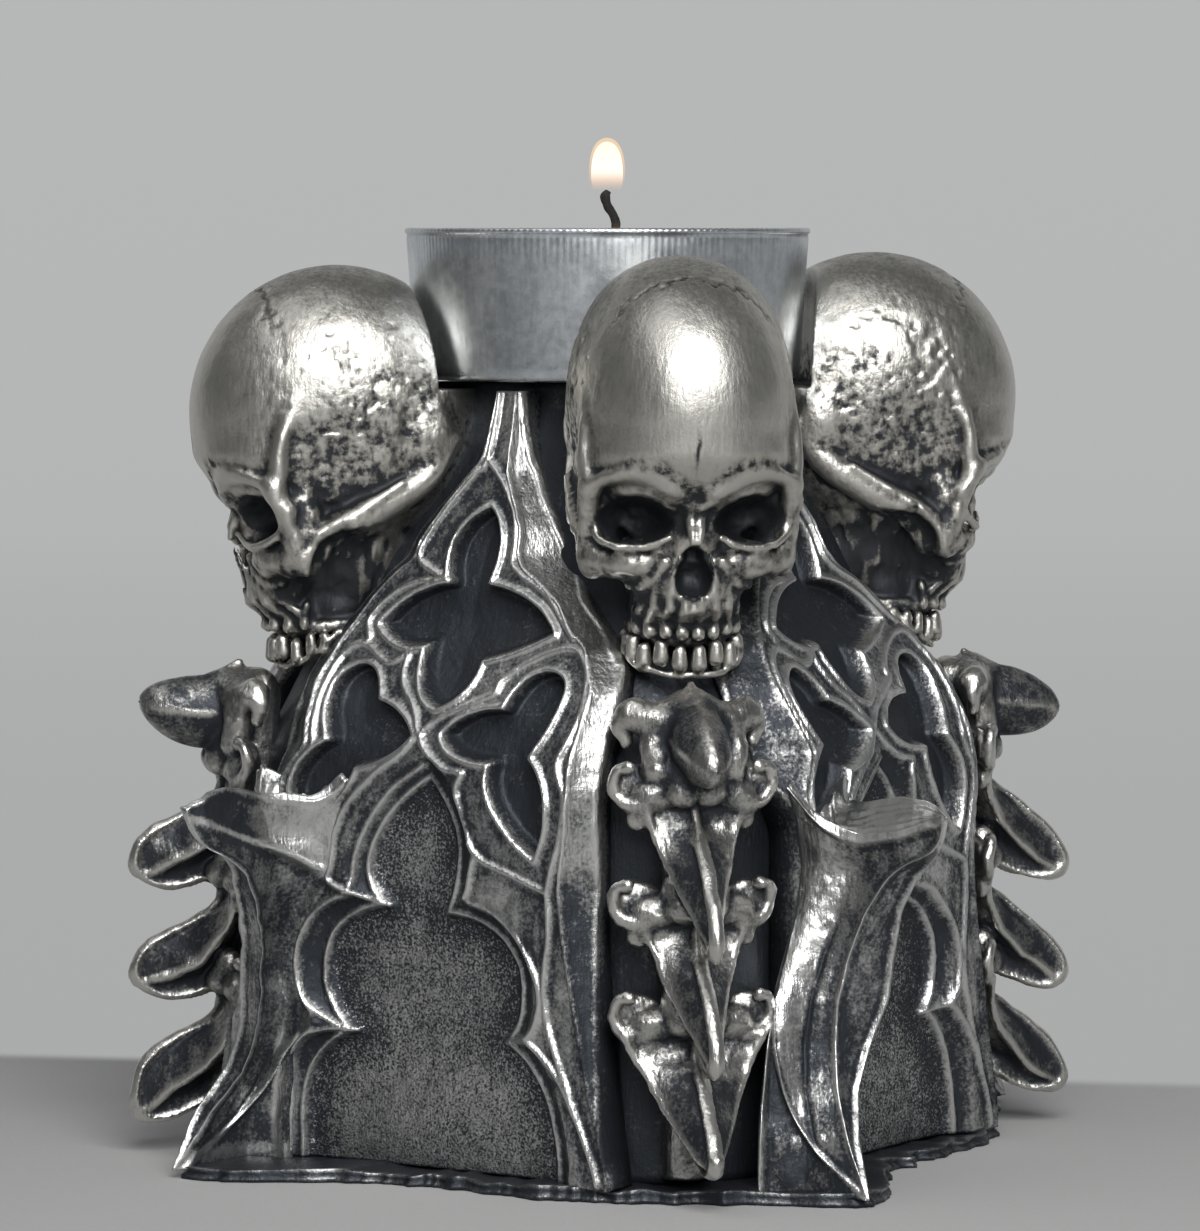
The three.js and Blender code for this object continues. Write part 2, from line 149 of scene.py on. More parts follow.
# Clay: a field of distances on a lattice over the half with across >= 0, negative inside the shape
class Clay:
    farGap = 6.0  # distances are kept within this of the surface
    blendRoom = 3.0  # how far round a shape its blending reaches
    edgeGap = 0.01  # least distance at the lattice's own faces, which closes the skin there

    def __init__(self, low, high, step):
        self.step = step
        self.axes = [np.arange(a, b + step / 2, step) for a, b in zip(low, high)]
        self.field = np.full([len(axis) for axis in self.axes], self.farGap)

    # The lattice near some points: its slices and its coordinates
    def near(self, points, margin):
        points = np.atleast_2d(points)
        ends = zip(self.axes, points.min(0) - margin, points.max(0) + margin)
        part = tuple(slice(*np.searchsorted(axis, (a, b))) for axis, a, b in ends)
        coords = [axis[cut] for axis, cut in zip(self.axes, part)]
        return part, np.meshgrid(*coords, indexing="ij", sparse=True)

    # Smooth union: the lesser distance, rounded where the two are within the soft width of each other
    def add(self, part, gap, soft):
        old = self.field[part]
        share = np.clip(0.5 + 0.5 * (gap - old) / soft, 0, 1)
        self.field[part] = gap + (old - gap) * share - soft * share * (1 - share)

    # Smooth cut: the greater of the distance and the cutter's, turned outside in
    def cut(self, part, gap, soft):
        old = self.field[part]
        share = np.clip(0.5 - 0.5 * (old + gap) / soft, 0, 1)
        self.field[part] = old + (-gap - old) * share + soft * share * (1 - share)

    # Distance to an ellipsoid: scaled length times itself less one, over the length of its slope
    def ball(self, centre, half, lean=0.0):
        part, place = self.near([centre], np.max(half) + self.blendRoom)
        across, out, up = (axis - middle for axis, middle in zip(place, centre))
        turn = math.radians(lean)
        across, up = (across * math.cos(turn) + up * math.sin(turn),
                      up * math.cos(turn) - across * math.sin(turn))
        length = np.sqrt((across / half[0]) ** 2 + (out / half[1]) ** 2 + (up / half[2]) ** 2)
        slope = np.sqrt((across / half[0] ** 2) ** 2 + (out / half[1] ** 2) ** 2 + (up / half[2] ** 2) ** 2)
        return part, length * (length - 1) / np.maximum(slope, 1e-6)

    # Distance to a chain of round cones: to the nearest point of each straight stretch, less the radius there
    def rod(self, path, thick):
        path = np.array(path, float)
        stops = np.linspace(0, 1, np.size(thick))
        radii = np.interp(np.linspace(0, 1, len(path)), stops, np.atleast_1d(thick))
        part, place = self.near(path, np.max(radii) + self.blendRoom)
        best = np.inf
        for start, along, radius, swell in zip(path, np.diff(path, axis=0), radii, np.diff(radii)):
            offset = [axis - first for axis, first in zip(place, start)]
            share = sum(gap * way for gap, way in zip(offset, along)) / (along @ along)
            share = np.clip(share, 0, 1)
            gap = np.sqrt(sum((gap - share * way) ** 2 for gap, way in zip(offset, along)))
            best = np.minimum(best, gap - radius - share * swell)
        return part, best

    # Blends a ball in
    def addBall(self, centre, half, soft):
        self.add(*self.ball(centre, half), soft)

    # Cuts a leaning ball out
    def cutBall(self, centre, half, soft, lean):
        self.cut(*self.ball(centre, half, lean), soft)

    # Blends a rod in
    def addRod(self, path, thick, soft):
        self.add(*self.rod(path, thick), soft)

    # The whole field: the half and its mirror, less what is trimmed, closed at the lattice's own faces
    def mirror(self, trim):
        half = np.maximum(self.field, -self.farGap)
        self.whole = np.concatenate([half[:0:-1], half])
        self.low = np.array([-self.axes[0][-1], self.axes[1][0], self.axes[2][0]])
        if trim:
            acrossAll = np.concatenate([-self.axes[0][:0:-1], self.axes[0]])
            place = np.meshgrid(acrossAll, self.axes[1], self.axes[2], indexing="ij", sparse=True)
            self.whole = np.maximum(self.whole, -trim(*place))
        for axis in range(3):
            face = np.moveaxis(self.whole, axis, 0)
            face[0] = np.maximum(face[0], self.edgeGap)
            face[-1] = np.maximum(face[-1], self.edgeGap)

    # A point in each cell that the zero level crosses, at the mean of the crossings on its twelve edges
    def netPoints(self, cells):
        corners = np.array(list(np.ndindex(2, 2, 2)))
        at = cells[:, None, :] + corners
        values = self.whole[at[..., 0], at[..., 1], at[..., 2]]
        total = np.zeros((len(cells), 3))
        hits = np.zeros(len(cells))
        for first, axis in np.ndindex(8, 3):
            if corners[first, axis]:
                continue
            second = first + (4, 2, 1)[axis]
            crossed = (values[:, first] < 0) != (values[:, second] < 0)
            span = np.where(crossed, values[:, first] - values[:, second], 1)
            share = np.where(crossed, values[:, first] / span, 0)
            spot = corners[first] + share[:, None] * np.eye(3)[axis]
            total += np.where(crossed[:, None], spot, 0)
            hits += crossed
        return self.low + (cells + total / hits[:, None]) * self.step

    # A quad of cells round each lattice edge whose ends differ in sign, turned to face outwards
    def netQuads(self, inside, number):
        quads = []
        for axis in range(3):
            start = np.moveaxis(inside, axis, 0)[:-1, 1:-1, 1:-1]
            end = np.moveaxis(inside, axis, 0)[1:, 1:-1, 1:-1]
            found = np.moveaxis(number, axis, 0)
            around = [found[:, :-1, :-1], found[:, 1:, :-1], found[:, 1:, 1:], found[:, :-1, 1:]]
            loop = np.stack([side[start != end] for side in around], axis=-1)
            outward = start[start != end]
            if axis == 1:
                outward = ~outward
            quads.append(np.where(outward[:, None], loop, loop[:, ::-1]))
        return np.concatenate(quads)

    # Surface net of the whole field, evened out
    def skin(self, trim=None):
        self.mirror(trim)
        inside = self.whole < 0
        spans = [slice(0, -1), slice(1, None)]
        count = sum(inside[spans[a], spans[b], spans[c]].astype(np.int8) for a, b, c in np.ndindex(2, 2, 2))
        cells = np.argwhere((count > 0) & (count < 8))
        number = np.full(count.shape, -1)
        number[tuple(cells.T)] = np.arange(len(cells))
        quads = self.netQuads(inside, number)
        return self.settled(self.netPoints(cells), quads), quads

    # Values of a lattice at any points, blended between the eight lattice points round each
    def sampled(self, values, points):
        cell = np.clip((points - self.low) / self.step, 0, np.array(self.whole.shape) - 1.001)
        base = cell.astype(int)
        share = cell - base
        total = 0
        for corner in np.ndindex(2, 2, 2):
            at = base + corner
            weight = np.prod(np.where(corner, share, 1 - share), axis=1)
            weight = weight.reshape(-1, *[1] * (values.ndim - 3))
            total = total + weight * values[at[:, 0], at[:, 1], at[:, 2]]
        return total

    # Evens the net: each point goes to the mean of its neighbours, then back down the slope to the zero level
    def settled(self, points, quads, rounds=4, pull=0.6):
        slopes = np.stack(np.gradient(self.whole, self.step), axis=-1)
        start = np.concatenate([quads[:, side] for side in range(4)] * 2)
        end = np.concatenate([quads[:, (side + 1) % 4] for side in range(4)]
                             + [quads[:, (side + 3) % 4] for side in range(4)])
        count = np.bincount(start, minlength=len(points))[:, None]
        for _ in range(rounds):
            sums = [np.bincount(start, points[end, axis], len(points)) for axis in range(3)]
            points = (1 - pull) * points + pull * np.stack(sums, axis=-1) / count
            slope = self.sampled(slopes, points)
            gap = self.sampled(self.whole, points)
            size = np.maximum(np.sum(slope ** 2, axis=1), 0.2)
            move = slope * (gap / size)[:, None]
            points = points - np.clip(move, -self.step, self.step)
        return points

    # How open the shape is about each point: a half less the filled share of a cube round it
    def openness(self, points, reach):
        share = np.clip(0.5 - self.whole / (1.6 * self.step), 0, 1)
        cells = max(1, round(reach / self.step))
        for axis in range(3):
            pad = [(cells + 1, cells) if side == axis else (0, 0) for side in range(3)]
            total = np.moveaxis(np.cumsum(np.pad(share, pad, mode="edge"), axis=axis), axis, 0)
            share = np.moveaxis((total[2 * cells + 1:] - total[:-2 * cells - 1]) / (2 * cells + 1), 0, axis)
        return 0.5 - self.sampled(share, points)


# Node helpers: a value that is a socket is linked, any other is set on the socket
def addNode(tree, kind, values, **settings):
    node = tree.nodes.new(kind)
    for key, value in settings.items():
        setattr(node, key, value)
    for key, value in values.items():
        if isinstance(value, bpy.types.NodeSocket):
            tree.links.new(value, node.inputs[key])
        else:
            node.inputs[key].default_value = value
    return node


# An empty material, with the piece's own coordinates
def newMaterial(name):
    material = bpy.data.materials.new(name)
    material.use_nodes = True
    tree = material.node_tree
    tree.nodes.clear()
    place = addNode(tree, "ShaderNodeTexCoord", {}).outputs["Object"]
    return material, tree, place


# Noise at each place, drawn out along the axes whose stretch is under one
def noiseAt(tree, place, scale, detail, rough, stretch=(1, 1, 1)):
    if stretch != (1, 1, 1):
        place = addNode(tree, "ShaderNodeMapping", {"Vector": place, "Scale": stretch}).outputs["Vector"]
    values = {"Vector": place, "Scale": scale, "Detail": detail, "Roughness": rough}
    return addNode(tree, "ShaderNodeTexNoise", values).outputs["Fac"]


# One sum, product or other operation on values or sockets
def mathAt(tree, operation, *values):
    return addNode(tree, "ShaderNodeMath", dict(enumerate(values)), operation=operation).outputs[0]


# A value taken from one range to another
def rangeAt(tree, value, low, high, toLow, toHigh, kind="SMOOTHSTEP"):
    values = {"Value": value, "From Min": low, "From Max": high, "To Min": toLow, "To Max": toHigh}
    return addNode(tree, "ShaderNodeMapRange", values, interpolation_type=kind).outputs["Result"]


# The first colour, and the share of the second mixed into it; each is a value or a socket
def colourMix(tree, share, first, second):
    node = addNode(tree, "ShaderNodeMix", {}, data_type="RGBA")
    tree.links.new(share, node.inputs[0])
    for socket, value in ((node.inputs[6], first), (node.inputs[7], second)):
        if isinstance(value, bpy.types.NodeSocket):
            tree.links.new(value, socket)
        else:
            socket.default_value = (*value, 1)
    return node.outputs[2]


# The finish of a piece: its shader with a bump of the given strength, and depth in metres
def finishShader(tree, values, bump, strength, depth):
    bumps = addNode(tree, "ShaderNodeBump", {"Height": bump, "Strength": strength, "Distance": depth})
    shader = addNode(tree, "ShaderNodeBsdfPrincipled", {**values, "Normal": bumps.outputs["Normal"]})
    addNode(tree, "ShaderNodeOutputMaterial", {"Surface": shader.outputs["BSDF"]})


# Silver finishes: stipple is (scale, detail, gain, offset) of the noise where the grain mark is
silverFinishes = {
    "skullSilver": {
        "bright": (0.62, 0.605, 0.56), "worn": (0.35, 0.34, 0.31), "dark": (0.030, 0.033, 0.038),
        "patch": 0.45, "fleck": 0.35, "brushed": 0.4, "stipple": (1250, 3, 2.2, -1.35),
        "roughBright": 0.31, "roughDark": 0.45, "bump": 0.17},
    "tracerySilver": {
        "bright": (0.70, 0.70, 0.69), "worn": (0.36, 0.36, 0.355), "dark": (0.034, 0.039, 0.047),
        "patch": 0.7, "fleck": 0.8, "brushed": 0.2, "stipple": (4400, 2, 1.9, -0.91),
        "roughBright": 0.26, "roughDark": 0.42, "bump": 0.3},
    "boneSilver": {
        "bright": (0.64, 0.63, 0.60), "worn": (0.34, 0.335, 0.32), "dark": (0.030, 0.034, 0.041),
        "patch": 0.5, "fleck": 0.6, "brushed": 0.2, "stipple": (5200, 1, 1.1, -0.55),
        "roughBright": 0.24, "roughDark": 0.40, "bump": 0.3},
    "darkSilver": {
        "bright": (0.55, 0.55, 0.54), "worn": (0.20, 0.205, 0.21), "dark": (0.030, 0.035, 0.043),
        "patch": 0.35, "fleck": 0.5, "brushed": 0.2, "stipple": (5200, 1, 1.1, -0.55),
        "roughBright": 0.32, "roughDark": 0.40, "bump": 0.3},
}
silverScales = {"patch": 620, "fleck": 3000, "streak": 2300}
silverRubbed = (0.26, 0.70)  # totals from all dark wash to all metal
silverPolished = (0.45, 1.0)  # totals from worn metal to bright
silverMetal = (0.6, 1)  # metallic share of the wash and of the metal
silverStreakRough = 0.16
silverFleckBump = 0.4
silverBumpDepth = 0.0003


# Antique silver: the rub mark plus patches, flecks and streaks says where the wash is rubbed off to metal and
# where painted shade and painted highlights are laid on
def antiqueSilver(name):
    look = silverFinishes[name]
    material, tree, place = newMaterial(name)
    rubAndLight = addNode(tree, "ShaderNodeAttribute", {}, attribute_name="rubAndLight").outputs["Fac"]
    grain = addNode(tree, "ShaderNodeAttribute", {}, attribute_name="grain").outputs["Fac"]
    patches = noiseAt(tree, place, silverScales["patch"], 5, 0.65)
    flecks = noiseAt(tree, place, silverScales["fleck"], 2, 0.6)
    streaks = noiseAt(tree, place, silverScales["streak"], 3, 0.6, (1, 1, 0.2))
    shift = mathAt(tree, "MULTIPLY_ADD", patches, look["patch"], -0.5 * look["patch"])
    scale, detail, gain, offset = look["stipple"]
    stipple = mathAt(tree, "MULTIPLY_ADD", noiseAt(tree, place, scale, detail, 0.5), gain, offset)
    stippleShift = mathAt(tree, "MULTIPLY", stipple, grain)
    fleckShift = mathAt(tree, "MULTIPLY_ADD", flecks, look["fleck"], -0.5 * look["fleck"])
    fleckShift = mathAt(tree, "ADD", fleckShift, stippleShift)
    streakShift = mathAt(tree, "MULTIPLY_ADD", streaks, look["brushed"], -0.5 * look["brushed"])
    total = mathAt(tree, "ADD", mathAt(tree, "ADD", rubAndLight, shift), mathAt(tree, "ADD", fleckShift, streakShift))
    mask = rangeAt(tree, total, *silverRubbed, 0, 1)
    metal = colourMix(tree, rangeAt(tree, total, *silverPolished, 0, 1), look["worn"], look["bright"])
    colour = colourMix(tree, mask, look["dark"], metal)
    gloss = rangeAt(tree, mask, 0, 1, look["roughDark"], look["roughBright"], "LINEAR")
    rough = mathAt(tree, "MULTIPLY_ADD", streaks, silverStreakRough, gloss)
    bump = mathAt(tree, "MULTIPLY_ADD", flecks, silverFleckBump, mathAt(tree, "ADD", patches, streaks))
    bump = mathAt(tree, "ADD", bump, stippleShift)
    metallic = rangeAt(tree, mask, 0, 1, *silverMetal, "LINEAR")
    values = {"Base Color": colour, "Metallic": metallic, "Roughness": rough}
    finishShader(tree, values, bump, look["bump"], silverBumpDepth)
    return material


skullSilver = antiqueSilver("skullSilver")
tracerySilver = antiqueSilver("tracerySilver")
boneSilver = antiqueSilver("boneSilver")
darkSilver = antiqueSilver("darkSilver")
print("silver finishes ready")

# Skull: one half of it, in places (across from its middle, out from the candle's axis, up); masses and
# hollows are (centre, half sizes, softness), ridges and lips are (path, thickness, softness), and regions are
# smooth steps
skullLook = {
    "low": (0, 10.5, 46.4),
    "high": (11.9, 43.0, 86.0),
    "step": 0.24,
    "vaultCentre": (0, 26.3, 71.0),
    "vaultHalf": (10.3, 13.9, 13.9),
    "vaultSquare": 2.2,
    "masses": [
        ((0, 32.4, 66.2), (8.9, 6.8, 4.6), 2.0),
        ((0, 33.0, 60.5), (3.2, 3.6, 3.6), 1.2),
        ((0, 32.2, 55.6), (5.2, 4.1, 4.6), 1.5),
        ((0, 30.5, 51.8), (4.6, 2.9, 2.6), 1.2),
        ((4.8, 33.2, 57.4), (3.3, 2.8, 1.9), 1.0),
        ((8.0, 31.4, 57.6), (1.8, 2.6, 2.0), 0.9),
        ((8.4, 29.8, 58.6), (1.5, 3.2, 2.4), 0.9),
        ((8.1, 31.4, 61.2), (1.7, 2.4, 3.6), 0.8),
        ((0, 25.0, 58.0), (5.4, 6.5, 8.0), 2.0),
        ((0, 26.5, 52.6), (4.7, 3.4, 2.2), 1.0),
        ((8.0, 18.8, 69.0), (1.7, 2.4, 3.2), 1.0),
    ],
    "ridges": [
        ([(0.4, 37.4, 62.7), (2.2, 38.2, 64.0), (4.6, 38.0, 65.3), (7.2, 36.8, 65.3), (9.1, 34.7, 64.2),
          (9.5, 33.2, 62.2)], (0.6, 0.65, 0.7, 0.65, 0.7, 0.8), 0.7),
        ([(9.2, 34.4, 63.8), (9.3, 33.3, 61.5), (9.0, 32.4, 58.9), (8.2, 31.3, 57.0)],
         (0.8, 0.85, 0.9, 1.0), 0.8),
        ([(7.6, 31.0, 57.4), (8.2, 28.5, 59.4), (8.5, 25.0, 61.5), (8.4, 21.5, 63.4), (8.1, 18.8, 65.4),
          (7.6, 16.5, 68.5)], (2.2, 1.95, 1.7, 1.5, 1.4, 1.1), 0.6),
        ([(9.6, 30.2, 59.6), (9.8, 27.8, 60.8), (9.85, 24.6, 62.6), (9.7, 21.4, 64.6)],
         (0.45, 0.4, 0.4, 0.3), 0.5),
        ([(9.3, 34.4, 64.4), (9.75, 33.2, 66.4), (9.7, 32.6, 69.0), (9.0, 31.4, 72.5)],
         (0.7, 0.6, 0.5, 0.2), 1.2),
    ],
    "hollows": [
        ((5.45, 37.0, 61.15), (3.6, 5.6, 2.2), 0.5, 9),
        ((0.40, 37.2, 55.9), (1.45, 3.2, 2.0), 0.4, 0),
        ((0.25, 37.6, 57.9), (0.8, 3.0, 1.2), 0.3, 0),
        ((13.5, 27.3, 67.0), (3.7, 7.0, 5.4), 1.4, 0),
        ((7.9, 30.0, 53.2), (2.9, 5.2, 2.9), 0.6, 0),
        ((0, 28.6, 47.6), (3.5, 3.6, 2.9), 0.5, 0),
        ((9.4, 25.0, 56.8), (2.6, 5.6, 3.6), 0.8, 0),
    ],
    "lips": [
        ([(9.0, 33.5, 60.2), (7.5, 35.1, 58.9), (4.5, 36.3, 58.7), (2.3, 36.9, 59.7)],
         (0.35, 0.4, 0.4, 0.3), 0.6),
        ([(0.3, 36.7, 62.4), (0.35, 37.1, 60.7), (0.25, 37.4, 59.2)], (0.5, 0.55, 0.35), 0.6),
        ([(1.35, 36.9, 58.0), (1.95, 36.2, 56.0), (1.7, 35.4, 54.2), (0.3, 35.2, 53.5)],
         (0.2, 0.2, 0.25, 0.3), 0.5),
        ([(0.0, 34.9, 53.9), (0.0, 35.7, 53.0)], (0.5, 0.25), 0.3),
        ([(2.6, 35.8, 57.4), (3.7, 34.8, 55.6), (5.4, 33.2, 55.2)], (0.5, 0.5, 0.45), 0.5),
    ],
    "teeth": [(0.88, 33.4, 48.5), (2.5, 32.8, 49.0), (3.9, 31.5, 48.7), (4.7, 29.9, 49.3), (4.95, 28.3, 49.4),
              (5.0, 26.7, 49.7), (4.9, 25.2, 49.8)],
    "toothThick": (0.62, 0.76),
    "toothSoft": 0.12,
    "jaw": [(0, 32.9, 47.0), (2.4, 32.4, 47.1), (4.4, 30.8, 47.7), (5.3, 28.6, 49.0), (5.2, 27.0, 50.4)],
    "jawThick": 0.32,
    "jawSoft": 0.2,
    "upperTeeth": [(0.72, 33.7, 51.6), (2.15, 33.3, 51.7), (3.5, 32.1, 51.8), (4.45, 30.5, 52.0)],
    "upperThick": (0.5, 0.62),
    "rootTop": 53.9,
    "rootThick": (0.3, 0.42, 0.5),
    "rootSoft": 0.2,
    "gum": [(0, 32.2, 50.4), (2.4, 31.5, 50.6), (3.9, 29.6, 50.9), (4.4, 27.4, 51.1), (4.4, 24.2, 51.2)],
    "gumThick": 0.7,
    "gumSoft": 0.6,
    "pocketRadius": 19.9,
    "pocketFloor": 72.7,
    "pivot": 32.0,
    "turns": {"front": -4.5, "right": 2, "back": 3, "left": -2},
    "slides": {"front": 0.6, "right": 0, "back": 0, "left": 0},
    "lifts": {"front": 0.4, "right": 0.6, "back": 0.0, "left": -0.6},
    "faceBack": {"by": 1.0, "up": (67.5, 64), "out": (27, 33)},
    "regions": {
        "face": [("up", 65.5, 62.5), ("out", 22, 27)],
        "nape": [("out", 24, 19), ("up", 78, 74)],
        "crown": [("up", 76, 84)],
        "cheekShade": [("side", 3.4, 4.8), ("up", 57.5, 56), ("up", 51.2, 52.4), ("out", 34.8, 33.2)],
        "underArch": [("up", 62, 58), ("out", 30.5, 27), ("up", 52.5, 54)],
        "backTeeth": [("up", 53, 52), ("out", 32, 30)],
        "flank": [("side", 5, 9)],
        "lowTemple": [("up", 69, 62.5)],
    },
    "sidePatches": {
        "temple": {"middle": (27, 66.5), "half": (7.5, 6.5), "fade": (1.15, 0.5), "side": (7, 9)},
        "hammered": {"middle": (25.5, 73), "half": (9, 8), "fade": (1.2, 0.5), "side": (6, 8)},
        "worn": {"middle": (23, 71), "half": (9, 7), "fade": (1.2, 0.4), "side": (7, 9)},
    },
    "sockets": [
        {"centre": (5.45, 37, 61.15), "half": (3.6, 5.6, 2.2), "fade": (1.12, 0.98), "out": (37.2, 36.2)},
        {"centre": (0, 37.2, 56.3), "half": (1.9, 3.2, 2.7), "fade": (1.1, 0.95), "out": None},
    ],
    "brow": {"up": 63.9, "rise": 2.3, "riseSide": (0, 4), "fall": 1.2, "fallSide": (6, 9.5), "half": 1.2,
             "out": (32, 35)},
    "suture": {"out": 33.3, "bend": 0.012, "jitter": 0.9, "off": 0.5, "half": 0.35, "glint": 0.4,
               "up": (77, 80)},
    "crack": {"across": -0.3, "half": 0.25, "jitter": 0.25, "up": 67.5, "tall": 3.0, "out": 36},
    "dents": (0.16, 0.42),
    "rubBase": 0.86,
    # Of these weights, the cheeks' and the crown's are painted shade, under the cheekbones and on the top of
    # the vault, and the sockets' is dark wash and painted shade in the eye and nose hollows
    "rubAndLightWeights": {"face": -0.30, "temple": -0.10, "brow": -0.12, "crown": -0.36, "suture": -0.3, "crack": -0.9,
             "socket": -0.9, "cheekShade": -0.45, "backTeeth": -0.35, "lowTemple": -0.08, "dents": -0.2},
    "tight": {"reach": 0.5, "gain": 2.8, "limits": (-0.75, 0.5)},
    "wide": {"reach": 1.7, "gain": 1.8, "limits": (-0.65, 0.3)},
    "pits": {"temple": 0.8, "worn": 0.85, "brow": 0.9, "nape": 0.9, "face": 0.5, "flank": 0.28},
    "bumpMiddle": (0, 26.3, 68.0),
}


# Line of a tooth's root down the rounded upper jaw, out = centre + half * sqrt(1 - across^2 - up^2)
def rootLine(look, across, out, up):
    centre, half, _ = look["masses"][2]
    ups = np.array([look["rootTop"] + 0.35 * across, (look["rootTop"] + up) / 2 + 0.4])
    inside = 1 - (across / half[0]) ** 2 - ((ups - centre[2]) / half[2]) ** 2
    outs = centre[1] + half[1] * np.sqrt(inside)
    top = (across * 0.94, outs[0] - 0.1, ups[0])
    middle = (across * 0.97, outs[1] + 0.05, ups[1])
    return [top, middle, (across, out, up)]


# Skull field: a squarish ellipsoid vault, (out^2+up^2)^(p/2)+across^p, with masses, hollows, ridges and teeth
def skullClay(look):
    clay = Clay(look["low"], look["high"], look["step"])
    part, place = clay.near([look["vaultCentre"]], 100)
    across, out, up = ((axis - middle) / half for axis, middle, half
                       in zip(place, look["vaultCentre"], look["vaultHalf"]))
    power = look["vaultSquare"]
    swell = ((out ** 2 + up ** 2) ** (power / 2) + np.abs(across) ** power) ** (1 / power)
    slope = np.sqrt(sum(side ** 2 for side in np.gradient(swell, look["step"])))
    clay.add(part, (swell - 1) / np.maximum(slope, 0.02), 0.1)
    for centre, half, soft in look["masses"]:
        clay.addBall(centre, half, soft)
    for path, thick, soft in look["ridges"]:
        clay.addRod(smoothPath(path), thick, soft)
    for centre, half, soft, lean in look["hollows"]:
        clay.cutBall(centre, half, soft, lean)
    for path, thick, soft in look["lips"]:
        clay.addRod(smoothPath(path), thick, soft)
    clay.addRod(smoothPath(look["gum"]), look["gumThick"], look["gumSoft"])
    for across, out, up in look["upperTeeth"]:
        clay.addRod(rootLine(look, across, out, up), look["rootThick"], look["rootSoft"])
        tooth = [(across, out - 0.1, up + 0.9), (across, out + 0.2, up - 0.8)]
        clay.addRod(tooth, look["upperThick"], look["toothSoft"])
    for across, out, up in look["teeth"]:
        tooth = [(across, out, up + 0.6), (across, out - 0.1, up - 0.5)]
        clay.addRod(tooth, look["toothThick"], look["toothSoft"])
    clay.addRod(smoothPath(look["jaw"]), look["jawThick"], look["jawSoft"])
    return clay


# Skull's turn about its own upright line, so that each one looks its own way
def skullTurned(points, look, name):
    angle = math.radians(look["turns"][name])
    across, out = points[:, 0], points[:, 1] - look["pivot"]
    return np.stack([across * math.cos(angle) + out * math.sin(angle),
                     look["pivot"] + out * math.cos(angle) - across * math.sin(angle), points[:, 2]], axis=-1)


# The cup's pocket: a cylinder round the candle's own axis, whichever way the skull is turned, above a floor
def pocketGap(look, name, across, out, up):
    angle = -math.radians(look["turns"][name])
    slide = look["slides"][name]
    middleAcross = -look["pivot"] * math.sin(angle) - slide * math.cos(angle)
    middleOut = look["pivot"] * (1 - math.cos(angle)) + slide * math.sin(angle)
    radius = np.hypot(across - middleAcross, out - middleOut)
    floor = look["pocketFloor"] - look["lifts"][name]
    return np.maximum(radius - look["pocketRadius"], floor - up)


# A patch on the skull's side: one inside an ellipse of (out, up), fading between two sizes of it
def sidePatch(patch, side, out, up):
    middle, half = patch["middle"], patch["half"]
    size = np.hypot((out - middle[0]) / half[0], (up - middle[1]) / half[1])
    return smoothStep(*patch["fade"], size) * smoothStep(*patch["side"], side)


# An eye or nose socket: one inside an ellipsoid, and for the eyes only behind their rims
def socketShare(socket, side, out, up):
    place = zip((side, out, up), socket["centre"], socket["half"])
    size = np.sqrt(sum(((axis - middle) / half) ** 2 for axis, middle, half in place))
    behind = smoothStep(*socket["out"], out) if socket["out"] else 1
    return smoothStep(*socket["fade"], size) * behind


# How far each place is in each region of the skull, from 0 to 1: products of smooth steps, patches and ridges
def skullRegions(look, points, fine):
    across, out, up = points.T
    side = np.abs(across)
    place = {"side": side, "out": out, "up": up}
    regions = {name: np.prod([smoothStep(low, high, place[axis]) for axis, low, high in steps], axis=0)
               for name, steps in look["regions"].items()}
    regions.update({name: sidePatch(patch, side, out, up) for name, patch in look["sidePatches"].items()})
    regions["lowTemple"] = regions["temple"] * regions["lowTemple"]
    regions["socket"] = sum(socketShare(socket, side, out, up) for socket in look["sockets"])
    brow = look["brow"]
    browUp = brow["up"] + brow["rise"] * smoothStep(*brow["riseSide"], side)
    browUp = browUp - brow["fall"] * smoothStep(*brow["fallSide"], side)
    regions["brow"] = ridge(up, browUp, brow["half"]) * smoothStep(*brow["out"], out)
    suture = look["suture"]
    seam = out - suture["out"] + suture["bend"] * side ** 2
    jagged = ridge(seam + suture["jitter"] * fine, suture["off"], suture["half"])
    regions["suture"] = jagged * smoothStep(*suture["up"], up)
    regions["seam"] = ridge(seam, 0, suture["glint"]) * regions["crown"]
    crack = look["crack"]
    line = ridge(across + crack["jitter"] * lumps(points, 1.2, 14), crack["across"], crack["half"])
    regions["crack"] = line * ridge(up, crack["up"], crack["tall"]) * (out > crack["out"])
    return regions


